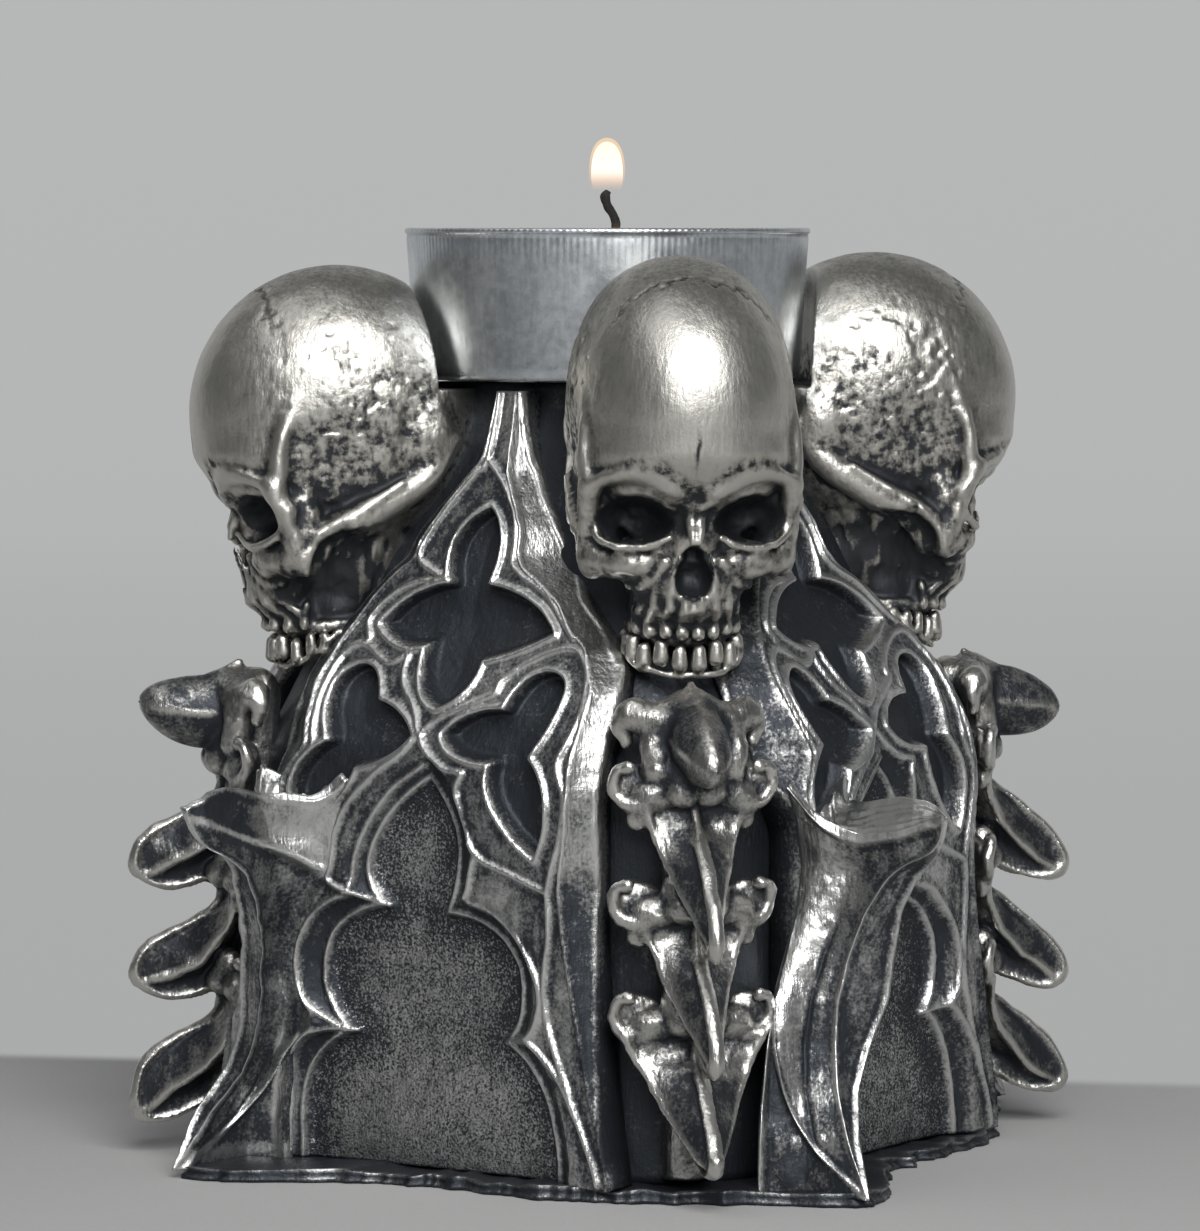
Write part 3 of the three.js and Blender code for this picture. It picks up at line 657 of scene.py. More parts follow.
# Marks of a skull: how far the wash is rubbed off, with painted shade in its sockets, in the hollows under
# its cheekbones, under its arches and on its crown, how pitted it is, and how far each place is pushed out
def skullMarks(look, clay, points, turn):
    coarse = lumps(points + turn, 1.5, 11)
    fine = lumps(points + turn, 0.7, 12)
    streak = lumps(points * np.array([1, 1, 0.35]) + turn, 0.6, 15)
    regions = skullRegions(look, points, fine)
    ragged = smoothStep(*look["dents"], 0.6 * lumps(points + turn, 1.9, 16) + 0.6 * fine)
    regions["dents"] = ragged * regions["hammered"]
    face, arch = regions["face"], regions["underArch"]
    rubAndLight = look["rubBase"] + sum(weight * regions[name] for name, weight in look["rubAndLightWeights"].items())
    for near in (look["tight"], look["wide"]):
        rubAndLight = rubAndLight + np.clip(near["gain"] * clay.openness(points, near["reach"]), *near["limits"])
    # Under the cheekbone arches the colour is painted shade, broken by bright streaks
    rubAndLight = rubAndLight + face * (0.30 * coarse + 0.22 * fine) + arch * (0.9 * streak - 0.2)
    rubAndLight = rubAndLight + 0.5 * smoothStep(0.1, 0.4, streak) * regions["seam"]
    pitted = np.maximum.reduce([weight * regions[name] for name, weight in look["pits"].items()])
    push = (0.04 + 0.05 * regions["temple"]) * coarse + face * (0.16 * coarse + 0.13 * fine)
    push = push - 0.12 * regions["suture"] - 0.08 * regions["brow"] * fine
    push = push + 0.3 * arch * streak - 0.16 * regions["dents"]
    return rubAndLight, pitted, push


# Skulls: the field's skin, pushed along lines from the vault's middle, with the face set back
def addSkulls(look):
    clay = skullClay(look)
    for name, turn in cornerTurns.items():
        points, faces = clay.skin(lambda *place: pocketGap(look, name, *place))
        rubAndLight, pitted, push = skullMarks(look, clay, points, turn)
        out, up = points[:, 1], points[:, 2]
        away = points - np.array(look["bumpMiddle"])
        away = away / np.linalg.norm(away, axis=1)[:, None]
        back = look["faceBack"]
        setBack = back["by"] * smoothStep(*back["up"], up) * smoothStep(*back["out"], out)
        points = points + push[:, None] * away
        points[:, 1] -= setBack
        points = skullTurned(points, look, name)
        points[:, 0] += look["slides"][name]
        points[:, 1] *= -1
        points[:, 2] += look["lifts"][name]
        addPiece(f"skull_cast_{name}", points, faces[:, ::-1], skullSilver, "holder",
                 [f"skull_{name}"], {"rubAndLight": rubAndLight, "grain": pitted}, turn)


addSkulls(skullLook)

# Spine: stacked blades in the plane across = 0, each under a ridged roof that runs from curled side processes
# down to the blade's tip; heights in a vertebra are below its own processes
spineLook = {
    "low": (0, 30.5, 1.8),
    "high": (9.6, 47.2, 49.9),
    "step": 0.24,
    "column": ([(0, 33.8, 2.2), (0, 34.1, 44.0)], 2.3),
    "tongueSpan": (35.2, 45.4),
    "tongueHalf": (2.7, 3.6),
    "tongueUp": (42.5, 40.9),
    "horn": ([(0, 35.6, 46.8), (0, 37.2, 44.6)], (0.3, 1.5)),
    "vertebrae": (37.0, 26.4, 16.2),
    "bladeRoot": (34.6, -4.2),
    "bladeTip": (45.9, -12.3),
    "bladeTall": 3.2,
    "bladeThick": 0.8,
    "roofTop": -0.8,
    "roofBase": 36.8,
    "roofHalves": (4.6, 4.6, 6.3),
    "roofUnder": 2.6,
    "keelThick": (0.5, 0.38, 0.36, 0.4),
    "eaveThick": (0.5, 0.36, 0.32, 0.3),
    "hook": [(2.0, 35.6, -0.5), (4.4, 36.3, -0.9), (6.3, 36.2, -0.7), (7.3, 36.0, 0.7), (7.0, 36.3, 2.2),
             (6.1, 36.6, 2.5)],
    "hookThick": (1.3, 1.0, 0.7, 0.6, 0.5, 0.5),
    "hookEnd": (0.65, 0.65, 0.65),
    "webs": [((3.0, 36.3, 0.0), (2.8, 1.5, 1.6)), ((5.0, 35.5, 0.8), (2.3, 0.9, 1.9)),
             ((1.8, 37.0, 1.6), (1.3, 1.4, 2.0)), ((4.9, 36.0, -1.8), (1.0, 0.9, 1.5)),
             ((1.2, 37.8, 0.4), (1.6, 1.4, 1.4))],
    "collar": [([(0.5, 35.8, 44.0), (3.3, 35.7, 43.6), (5.3, 35.0, 44.0)], (2.1, 1.7, 1.5), 0.8),
               ([(2.6, 35.9, 43.2), (3.6, 36.3, 41.2), (3.4, 36.7, 39.2)], (1.5, 1.4, 1.3), 0.7),
               ([(5.2, 35.2, 44.8), (6.4, 34.6, 43.2), (5.8, 34.8, 41.6)], (0.9, 0.8, 0.6), 0.4)],
    "softness": {"column": 0.1, "tongue": 0.5, "horn": 0.6, "blade": 0.2, "roof": 0.2, "line": 0.25,
                 "web": 0.5, "hook": 0.3, "hookEnd": 0.2},
    "lifts": {"front": -1.2, "right": 0.3, "back": 0.8, "left": 2.4},
    "rubAndLightWeights": {"bone": 0.52, "leaf": -0.22, "tongue": -0.24, "line": 0.48},
    "leafOut": (37.5, 39.5),
    "tight": {"reach": 0.5, "gain": 2.0, "limits": (-0.4, 0.5)},
    "wide": {"reach": 1.5, "gain": 0.9, "limits": (-0.3, 0.3)},
}


# Tongue: a leaf with an edge along each side, narrowing from its root to its tip as (1 - share^3.4)^0.65
def tongueShape(look, across, out, up):
    root, tip = look["tongueSpan"]
    share = np.clip((out - root) / (tip - root), 0, 1)
    taper = np.maximum((1 - share ** 3.4) ** 0.65, 0.05)
    high, low = look["tongueUp"]
    rise = up - high - (low - high) * share
    half = [size * taper for size in look["tongueHalf"]]
    level = np.sqrt((across / half[0]) ** 2 + np.abs(rise / half[1]) ** 1.5)
    return level, rise


# The tongue in the clay: where its leaf's level is under one, between its root and its tip
def addTongue(clay, look):
    root, tip = look["tongueSpan"]
    wide, tall = look["tongueHalf"]
    middle = look["tongueUp"][0]
    part, place = clay.near([(0, root, middle - tall), (wide, tip, middle + tall)], 2)
    level, _ = tongueShape(look, *place)
    gap = np.maximum((level - 1) * 1.9, place[1] - tip)
    clay.add(part, np.maximum(gap, root - place[1]), look["softness"]["tongue"])


# How far out a place is on a vertebra's blade, a blunt oval in the out-up plane: 1 at its rim
def bladeReach(look, height, out, up):
    root = np.array(look["bladeRoot"]) + [0, height]
    tip = np.array(look["bladeTip"]) + [0, height]
    length = np.linalg.norm(tip - root)
    way = (tip - root) / length
    middle = root + way * length * 0.48
    along = (out - middle[0]) * way[0] + (up - middle[1]) * way[1]
    side = (up - middle[1]) * way[0] - (out - middle[0]) * way[1]
    half = length * 0.53
    taper = look["bladeTall"] * (1 - 0.12 * along / half)
    return (np.abs(along / half) ** 2.2 + np.abs(side / taper) ** 2.2) ** (1 / 2.2)


# Roof lines of a vertebra at each height: half width of the eaves, reach of the keel and reach of the eaves
def roofLines(look, level, up):
    tipOut, tipUp = look["bladeTip"]
    top, base = look["roofTop"], look["roofBase"]
    share = np.clip((look["vertebrae"][level] + top - up) / (top - tipUp), 0, 1)
    half = look["roofHalves"][level] * (1 - share) ** 0.85 + 0.35
    keel = base + 0.4 + (tipOut - base - 0.6) * smoothStep(0, 0.85, share)
    eave = base + (tipOut - base - 0.6) * share ** 2.2
    return half, keel, eave


# Blade: its half thickness is full at the rim and thinner inside
def addBlade(clay, look, height):
    ends = [(0, end[0], end[1] + height) for end in (look["bladeRoot"], look["bladeTip"])]
    part, place = clay.near(ends, 5)
    across, out, up = place
    reach = bladeReach(look, height, out, up)
    rim = (reach - 1) * look["bladeTall"] * 0.9
    flat = across - look["bladeThick"] * (0.5 + 0.5 * ridge(reach, 0.92, 0.14))
    gap = np.maximum(rim, flat) + 0.25 * np.exp(-np.abs(rim - flat) / 0.4) - 0.1
    clay.add(part, gap, look["softness"]["blade"])


# Roof: a diamond section, widest at the eaves, that closes to the keel outside them and to the blade inside
def addRoof(clay, look, level):
    tipOut, tipUp = look["bladeTip"]
    top, base = look["roofTop"], look["roofBase"]
    height = look["vertebrae"][level]
    corners = [(0, base - 2, height + top), (look["roofHalves"][level], tipOut, height + tipUp)]
    part, place = clay.near(corners, 2)
    across, out, up = place
    half, keel, eave = roofLines(look, level, up)
    outer = np.clip(1 - (out - eave) / np.maximum(keel - eave, 0.3), 0, 1) ** 1.1
    inner = np.clip(1 + (out - eave) / look["roofUnder"], 0, 1)
    flank = (across - half * np.minimum(outer, inner)) * 0.6
    ends = np.maximum(up - height - top - 0.6, height + tipUp - up)
    gap = np.maximum(np.maximum(flank, out - keel), ends)
    clay.add(part, gap, look["softness"]["roof"])
    ups = height + top + (tipUp - top) * np.array([0, 0.2, 0.4, 0.6, 0.8, 1.0])
    half, keel, eave = roofLines(look, level, ups)
    keelPath = smoothPath(np.stack([0 * ups, keel - 0.2, ups], axis=-1))
    eavePath = smoothPath(np.stack([half - 0.25, eave - 0.1, ups], axis=-1))
    clay.addRod(keelPath, look["keelThick"], look["softness"]["line"])
    clay.addRod(eavePath, look["eaveThick"], look["softness"]["line"])


# How near each point is to a vertebra's keel, eaves or blade rim: 1 on the line
def spineLines(look, points):
    across, out, up = points.T
    side = np.abs(across)
    best = np.zeros(len(points))
    for level, height in enumerate(look["vertebrae"]):
        half, keel, eave = roofLines(look, level, up)
        among = smoothStep(0.5, -0.5, up - height) * smoothStep(-13.5, -12.5, up - height)
        onKeel = ridge(side, 0, 0.8) * smoothStep(1.1, 0.4, np.abs(out - keel))
        onEave = ridge(side - half, 0, 0.75) * smoothStep(1.1, 0.4, np.abs(out - eave))
        onRim = ridge(bladeReach(look, height, out, up), 0.97, 0.14) * smoothStep(1.6, 1.0, side)
        best = np.maximum(best, among * np.maximum(np.maximum(onKeel, onEave), onRim))
    swell, rise = tongueShape(look, across, out, up)
    onTongue = smoothStep(1.5, 1.2, swell) * smoothStep(37.0, 38.5, out)
    edges = ridge(rise, 0, 0.6) * smoothStep(0.9, 1.5, side) + 0.7 * ridge(side, 0, 0.6)
    return np.maximum(best * (1 - onTongue), edges * onTongue), onTongue


# Spine field: the column, the tongue and horn over it, the collar, and each vertebra's blade, roof and hooks
def spineClay(look):
    clay = Clay(look["low"], look["high"], look["step"])
    soft = look["softness"]
    clay.addRod(*look["column"], soft["column"])
    addTongue(clay, look)
    clay.addRod(*look["horn"], soft["horn"])
    for path, thick, blend in look["collar"]:
        clay.addRod(smoothPath(path), thick, blend)
    for level, height in enumerate(look["vertebrae"]):
        rise = np.array([0, 0, height])
        addBlade(clay, look, height)
        addRoof(clay, look, level)
        for middle, half in look["webs"]:
            clay.addBall(np.array(middle) + rise, half, soft["web"])
        hook = smoothPath(look["hook"]) + rise
        clay.addRod(hook, look["hookThick"], soft["hook"])
        clay.addBall(hook[-1], look["hookEnd"], soft["hookEnd"])
    return clay


# Spines: the field's skin with a wobble, blades raised by each corner's lift times the square of their reach
def addSpines(look):
    clay = spineClay(look)
    points, faces = clay.skin()
    _, out, up = points.T
    lines, tongue = spineLines(look, points)
    leaf = smoothStep(*look["leafOut"], out) * (1 - tongue)
    thin = np.maximum(leaf, tongue)
    broken = np.clip(0.8 + 0.9 * lumps(points, 2.0, 27), 0.15, 1.2)
    rubAndLightWeights = look["rubAndLightWeights"]
    rubAndLight = rubAndLightWeights["bone"] + rubAndLightWeights["leaf"] * leaf + rubAndLightWeights["tongue"] * tongue + rubAndLightWeights["line"] * lines * broken * thin
    for near in (look["tight"], look["wide"]):
        rubAndLight = rubAndLight + np.clip(near["gain"] * clay.openness(points, near["reach"]), *near["limits"])
    for name, turn in cornerTurns.items():
        wobble = 0.16 * lumps(points + turn, 1.5, 23) + 0.08 * lumps(points + turn, 0.7, 24)
        wobble = wobble * (1 - 0.6 * thin)
        place = points + wobble[:, None] * np.array([1.0, 1.0, 0.6])
        place[:, 2] += 0.3 * leaf * lumps(points + turn, 2.4, 26)
        place[:, 2] += look["lifts"][name] * np.clip((out - 36) / 9.5, 0, 1) ** 2 * smoothStep(3, 9, up)
        place[:, 1] *= -1
        scuff = 0.16 * lumps(points + turn, 1.1, 25)
        addPiece(f"spine_cast_{name}", place, faces[:, ::-1], boneSilver, "holder",
                 [f"vertebra_{name}_{level}" for level in range(1, 5)],
                 {"rubAndLight": rubAndLight + scuff, "grain": np.zeros(len(rubAndLight))}, turn)


addSpines(spineLook)

# Traceried face: places are (across from its middle, up); depths are below the face of the ribs
panelLook = {
    "rows": 336,
    "columns": 204,
    "bottom": 1.2,
    "top": 72.6,
    "reachHeights": (0, 38, 42, 46, 51, 58, 65, 72.5),
    "reaches": (32, 32, 30.5, 27.8, 24.6, 21.8, 19, 16.3),
    "thick": 4.4,
    "rightHeights": (0, 5, 10, 17, 24, 43, 46, 48, 50, 53, 55, 58, 60, 63, 66, 69, 72.5),
    "rightEdges": (20.6, 19.9, 19.2, 18.5, 18.0, 18.2, 18, 17.3, 15.5, 12.3, 10.3, 7.6, 6.6, 4.5, 2.8, 1.8,
                   1.1),
    "rightStripHeights": (0, 2.5, 6, 9.5, 14.5, 20, 25, 28, 31, 34, 37, 40, 43, 46, 49.5, 51, 53.5, 55, 56.3,
                          57.5, 60, 62, 65, 68, 72.5),
    "rightStrips": (20.2, 20, 19.2, 18.2, 17.2, 16, 15.2, 14.9, 15.2, 15.6, 15.7, 15.7, 15.9, 15.8, 13.8,
                    11.6, 9.5, 7.3, 5, 4, 3.7, 2.6, 0.9, 0.6, 0.3),
    "leftHeights": (0, 33, 34.5, 38, 43, 46, 48, 50, 53, 55, 58, 60, 63, 66, 69, 72.5),
    "leftEdges": (15.4, 15.4, 16.5, 18.4, 18.4, 18, 17.3, 15.8, 13, 11.4, 9.4, 8.4, 5.6, 2.9, 1.9, 1.6),
    "leftStripHeights": (0, 37, 40, 42, 46, 49.5, 51.5, 53.5, 54.8, 56, 57, 58.8, 61.5, 64.8, 66.3, 72.5),
    "leftStrips": (17, 15.5, 13.4, 13.8, 14.2, 13, 11.8, 10.6, 9.6, 8.5, 7.1, 6.8, 5.2, 2.8, 1.7, 1.5),
    "openings": {
        "quatrefoil": ((0, 61.9), [
            ((2.9, 59.6), (1.5, 54.9)), ((7.2, 54.3), (10, 50.8)), ((6.6, 48.9), (3.1, 48.2)),
            ((3.2, 45.2), (0, 43.8)), ((-3.2, 44.6), (-3.5, 49.2)), ((-6.8, 48.6), (-9.4, 51)),
            ((-7.2, 54.3), (-2.8, 54.9)), ((-4.6, 59.8), (0, 61.9))]),
        "rightTrefoil": ((7.3, 44), [
            ((8.3, 47.8), (11.5, 47.4)), ((15, 46.5), (11.2, 39.9)), ((15, 36.5), (12.4, 30.8)),
            ((6.4, 35), (7.2, 39.2)), ((2.5, 39.2), (1.4, 41.5)), ((3, 44), (7.3, 44))]),
        "leftTrefoil": ((-6.7, 44.3), [
            ((-7.9, 47.8), (-10.3, 47.3)), ((-14, 46), (-11, 40.5)), ((-16, 38), (-14, 33)),
            ((-9, 34), (-7.6, 38.2)), ((-4, 38.6), (-1.9, 41.3)), ((-3.6, 43.6), (-6.7, 44.3))]),
        "window": ((0, 37.3), [
            ((3.8, 33.5), (3.1, 29.5)), ((2.8, 27), (1.7, 25)), ((7.8, 25), (9.9, 20.5)),
            ((10.8, 16), (8.2, 13.6)), ((13.2, 11.5), (14, 3)), ((14, 0), (14, -4)),
            ((0, -4), (-14.1, -4)), ((-14.1, 0), (-14.1, 6)), ((-13.8, 11.5), (-8.3, 13.5)),
            ((-12, 16), (-11.4, 20)), ((-10.8, 24.5), (-4.4, 25.4)), ((-6.8, 27), (-6.5, 29.3)),
            ((-5.6, 33.6), (0, 37.3))]),
    },
    "rims": [
        [(-1.45, 72.4), (-1.5, 66.3), (-2.7, 64.7), (-5, 61.5), (-6.5, 58.8), (-6.75, 57.1), (-5.3, 56.1),
         (-2.9, 55.2)],
        [(-1.5, 66.3), (1, 64), (3, 61), (3.6, 58.5), (3.8, 56.9), (5.2, 55.8), (8.5, 54), (11, 51.6),
         (12.3, 50.4)],
        [(-2.8, 55.2), (-6.5, 54.9), (-9, 53.6), (-10.7, 51.5), (-10.2, 49.8)],
        [(-3.5, 49.3), (-5.1, 48.7), (-4.7, 46), (-2.7, 44), (-1.2, 41.6)],
        [(-1.2, 41.6), (-3, 39.4), (-5, 38), (-8, 35), (-9.6, 32), (-10.1, 29), (-10.5, 27.5), (-8, 26.4),
         (-4.6, 25.5)],
        [(-0.4, 38.6), (-3.6, 36.3), (-6.3, 33), (-7.7, 30), (-8.1, 27)],
        [(-1.1, 41.5), (0.5, 42.9), (4.5, 44.8), (5.8, 45.5), (6.1, 46.6), (9, 48.6), (12.5, 49.6),
         (14.6, 48), (15.6, 45), (15.3, 42), (14.5, 39.5), (15.5, 36.5), (15.3, 33.5), (14.4, 30.2),
         (13.8, 27.8)],
        [(13.8, 27.8), (10, 29.2), (6.2, 30.7), (4.6, 33.5), (3.8, 36.5), (4.3, 38.2)],
        [(4.3, 38.2), (2, 38.6), (0, 40), (-1.1, 41.5)],
        [(5.8, 30.4), (5.2, 27.6), (4.9, 26.4), (8, 25.3), (11, 22.6), (12.8, 19.5), (12.8, 16.6),
         (11.6, 14.5), (8.4, 13.6)],
        [(8.4, 13.6), (11.2, 14.1), (13.5, 12.6), (15.4, 10.4), (17.2, 7), (18.5, 4), (19.2, 1.7)],
        [(13.8, 27.8), (14.0, 24), (13.6, 20.5), (13.7, 16.6), (15, 12.6), (17, 7.6)],
        [(-8, 26.4), (-11, 25.2), (-12.8, 23.6), (-14, 21), (-14, 18), (-12.8, 15.7), (-10, 13.9),
         (-8.3, 13.6)],
        [(-8.3, 13.6), (-11.5, 13.4), (-13.6, 12.5), (-14.7, 10.5), (-15.2, 6), (-15.3, 1.7)],
        [(-5.1, 48.7), (-7.2, 47.6), (-10.5, 49.2), (-12.6, 48), (-13.4, 45), (-13.2, 42), (-12.6, 40)],
    ],
    "edgeEven": 0.8,
    "stripEven": 0.4,
    "reachEven": 3.0,
    "toneEven": 1.0,
    "rimHalf": 0.48,
    "rimOff": 0.25,
    "rimRise": 0.45,
    "fieldDepth": 2.0,
    "fieldDish": 0.12,
    "dishReach": 5,
    "windowDepth": 0.5,
    "splayDepth": 1.7,
    "splayWidth": 2.1,
    "stripSlope": 1.08,
    "stripStart": 0.2,
    "stripRimRise": 0.25,
    "stripRimBack": 0.3,
    # Strip tones are painted light and shade: the right strip is darker low down and brighter high up where
    # it bends back to the light, and the left strip is darker all over
    "stripLightHeights": (0, 12, 20, 28, 31, 72.5),
    "stripLightTones": (0.05, 0.1, 0.2, 0.26, 0.72, 0.72),
    "leftStripShade": 0.34,
    "rubAndLightWeights": {"flat": 0.54, "rims": 0.55, "gutter": -0.16, "splay": -0.2, "stripRims": 0.4, "field": 0.18,
             "window": 0.36},
    "washAndShadeWidth": 4.5,
    "cornerWashAndShade": 0.3,
    # Painted shade over each face's window field, deepest on the faces turned from the lamp
    "windowShade": {"front_right": 0.13, "back_right": 0.06, "back_left": 0.0, "front_left": 0.0},
}


# Distance to a path: the least of those to its straight stretches
def pathGap(across, up, path):
    best = np.full(across.shape, np.inf)
    for start, way in zip(path[:-1], np.diff(path, axis=0)):
        length = max(way @ way, 1e-12)
        share = np.clip(((across - start[0]) * way[0] + (up - start[1]) * way[1]) / length, 0, 1)
        best = np.minimum(best, np.hypot(across - start[0] - share * way[0], up - start[1] - share * way[1]))
    return best


# Signed distance to a closed outline: negative inside, by even-odd crossings
def outlineGap(across, up, outline):
    inside = np.zeros(across.shape, bool)
    for start, way in zip(outline[:-1], np.diff(outline, axis=0)):
        if way[1]:
            spans = (start[1] > up) != (start[1] + way[1] > up)
            inside ^= spans & (across < start[0] + (up - start[1]) * way[0] / way[1])
    gap = pathGap(across, up, outline)
    return np.where(inside, -gap, gap)


# A grid of (across, up) between the face's two edges, with its distances to the openings, the rims, the outer
# strips and the edges
def panelGaps(look):
    rise = np.linspace(look["bottom"], look["top"], look["rows"])[:, None]
    slide = np.linspace(-1, 1, look["columns"])[None, :]
    leftEdge = evened(rise, look["leftHeights"], look["leftEdges"], look["edgeEven"])
    rightEdge = evened(rise, look["rightHeights"], look["rightEdges"], look["edgeEven"])
    leftStrip = evened(rise, look["leftStripHeights"], look["leftStrips"], look["stripEven"])
    rightStrip = evened(rise, look["rightStripHeights"], look["rightStrips"], look["stripEven"])
    edge = np.where(slide < 0, leftEdge, rightEdge)
    across = slide * edge
    up = np.broadcast_to(rise, across.shape)
    openings = {name: outlineGap(across, up, arcs(*outline)) for name, outline in look["openings"].items()}
    gaps = {
        "opening": np.minimum.reduce(list(openings.values())),
        "window": openings["window"],
        "rim": np.minimum.reduce([pathGap(across, up, smoothPath(path, 5)) for path in look["rims"]]),
        "strip": np.abs(across) - np.where(slide < 0, leftStrip, rightStrip),
        "edge": np.abs(across) - edge,
    }
    return across, up, gaps


# How far each place is on each feature of the face, 0 to 1: ridges on lines and smooth steps into openings
def panelShares(look, gaps):
    half, off = look["rimHalf"], look["rimOff"]
    nearest = np.minimum(np.abs(gaps["opening"] - off), gaps["rim"])
    onStrip = smoothStep(-look["stripStart"], look["stripStart"], gaps["strip"])
    stripEdge = ridge(gaps["edge"], -look["stripRimBack"], half)
    return {
        "rims": np.maximum(ridge(gaps["opening"], off, half), ridge(gaps["rim"], 0, half)),
        "gutter": ridge(nearest, 1.6 * half, 1.2 * half),
        "splay": np.clip(1 - gaps["window"] / look["splayWidth"], 0, 1) ** 0.7,
        "onStrip": onStrip,
        "stripRims": np.maximum(ridge(gaps["strip"], look["stripStart"], half), stripEdge),
        "inField": smoothStep(0.0, -0.5, gaps["opening"]) * (1 - onStrip),
        "inWindow": smoothStep(0.0, -0.5, gaps["window"]) * (1 - onStrip),
    }


# Face relief: flats between raised rims, openings sunk below them, and outer strips that bend back
def panelRelief(look, gaps, shares):
    flat = look["rimRise"] * (shares["rims"] - 1)
    flat = flat - look["splayDepth"] * shares["splay"]
    bowl = look["fieldDepth"] + look["windowDepth"] * (gaps["window"] < 0)
    bowl = bowl + look["fieldDish"] * np.clip(-gaps["opening"], 0, look["dishReach"])
    relief = flat - (bowl + flat) * smoothStep(0.05, -0.7, gaps["opening"])
    strip = -look["stripSlope"] * np.clip(gaps["strip"] - look["stripStart"], 0, None)
    strip = strip + look["stripRimRise"] * (shares["stripRims"] - 1)
    return relief + (strip - relief) * shares["onStrip"]


# Rub and painted light of the face: clouded and scratched flats, bright rims, dark gutters, a splay darkened
# by wash and painted shade, strips toned with painted light and shade, fields, and the wash and painted shade
# that stay along the window's edges
def panelRubAndLight(look, across, up, gaps, shares):
    places = np.stack([across, 0 * across, up], axis=-1).reshape(-1, 3)
    cloud = lumps(places, 4.5, 33).reshape(across.shape)
    scratch = lumps(places * np.array([1, 1, 0.3]), 0.8, 34).reshape(across.shape)
    rubAndLightWeights = look["rubAndLightWeights"]
    rubAndLight = rubAndLightWeights["flat"] + 0.16 * cloud + 0.12 * scratch
    rubAndLight = rubAndLight + rubAndLightWeights["rims"] * shares["rims"] + rubAndLightWeights["gutter"] * shares["gutter"]
    # The splay round the window is darkened by wash and by painted shade
    rubAndLight = rubAndLight + rubAndLightWeights["splay"] * smoothStep(0, 0.3, shares["splay"])
    # The strips' tones are painted light and shade, set by height on the right strip and even on the left one
    rightStripLight = evened(up, look["stripLightHeights"], look["stripLightTones"], look["toneEven"])
    strip = np.where(across < 0, look["leftStripShade"], rightStripLight) + 0.14 * cloud + 0.12 * scratch
    strip = strip + rubAndLightWeights["stripRims"] * shares["stripRims"]
    rubAndLight = rubAndLight + shares["onStrip"] * (strip - rubAndLight)
    rubAndLight = rubAndLight + shares["inField"] * (rubAndLightWeights["field"] + 0.08 * cloud - rubAndLight)
    # Along the window's edges the field is darkened by wash that gathers there and by painted shade
    corner = smoothStep(-look["washAndShadeWidth"], -0.6, gaps["window"] + 0.8 * cloud)
    return rubAndLight + (rubAndLightWeights["window"] + 0.06 * cloud - look["cornerWashAndShade"] * corner) * shares["inWindow"]


# Traceried face: how far out it is from the axis, the face's own reach plus its relief, never behind its back
def panelSurface(look):
    across, up, gaps = panelGaps(look)
    shares = panelShares(look, gaps)
    face = evened(up, look["reachHeights"], look["reaches"], look["reachEven"])
    back = face - look["thick"]
    reach = np.maximum(face + panelRelief(look, gaps, shares), back + 0.05)
    return across, up, reach, back, panelRubAndLight(look, across, up, gaps, shares), shares["inWindow"]


# The rim of the front is drawn back to close the piece: one column on each side, one row at top and bottom
def addPanels(look):
    across, up, reach, back, rubAndLight, grain = panelSurface(look)
    rows, columns = across.shape
    front = np.stack([across, -reach, up], axis=-1)
    behind = np.pad(np.stack([across, -back, up], axis=-1), ((1, 1), (1, 1), (0, 0)), mode="edge")
    behind[1:-1, 1:-1] = front
    points = behind.reshape(-1, 3)
    number = np.arange(len(points)).reshape(rows + 2, columns + 2)
    left, right = number[:, 0], number[:, -1]
    backFaces = np.stack([left[:-1], left[1:], right[1:], right[:-1]], axis=-1)
    faces = np.concatenate([gridFaces(rows + 2, columns + 2), backFaces])
    rubAndLight, grain = np.pad(rubAndLight, 1, constant_values=0.1).ravel(), np.pad(grain, 1).ravel()
    for name, turn in faceTurns.items():
        # Each face's window field is darkened by its own painted shade
        marks = {"rubAndLight": rubAndLight - look["windowShade"][name] * grain, "grain": grain}
        wobble = 0.07 * lumps(points + turn, 1.6, 31) + 0.04 * lumps(points + turn, 0.7, 32)
        addPiece(f"tracery_cast_{name}", points + wobble[:, None] * np.array([0, 1, 0]), faces, tracerySilver,
                 "holder", [f"tracery_panel_{name}"], marks, turn, weld=True)


addPanels(panelLook)

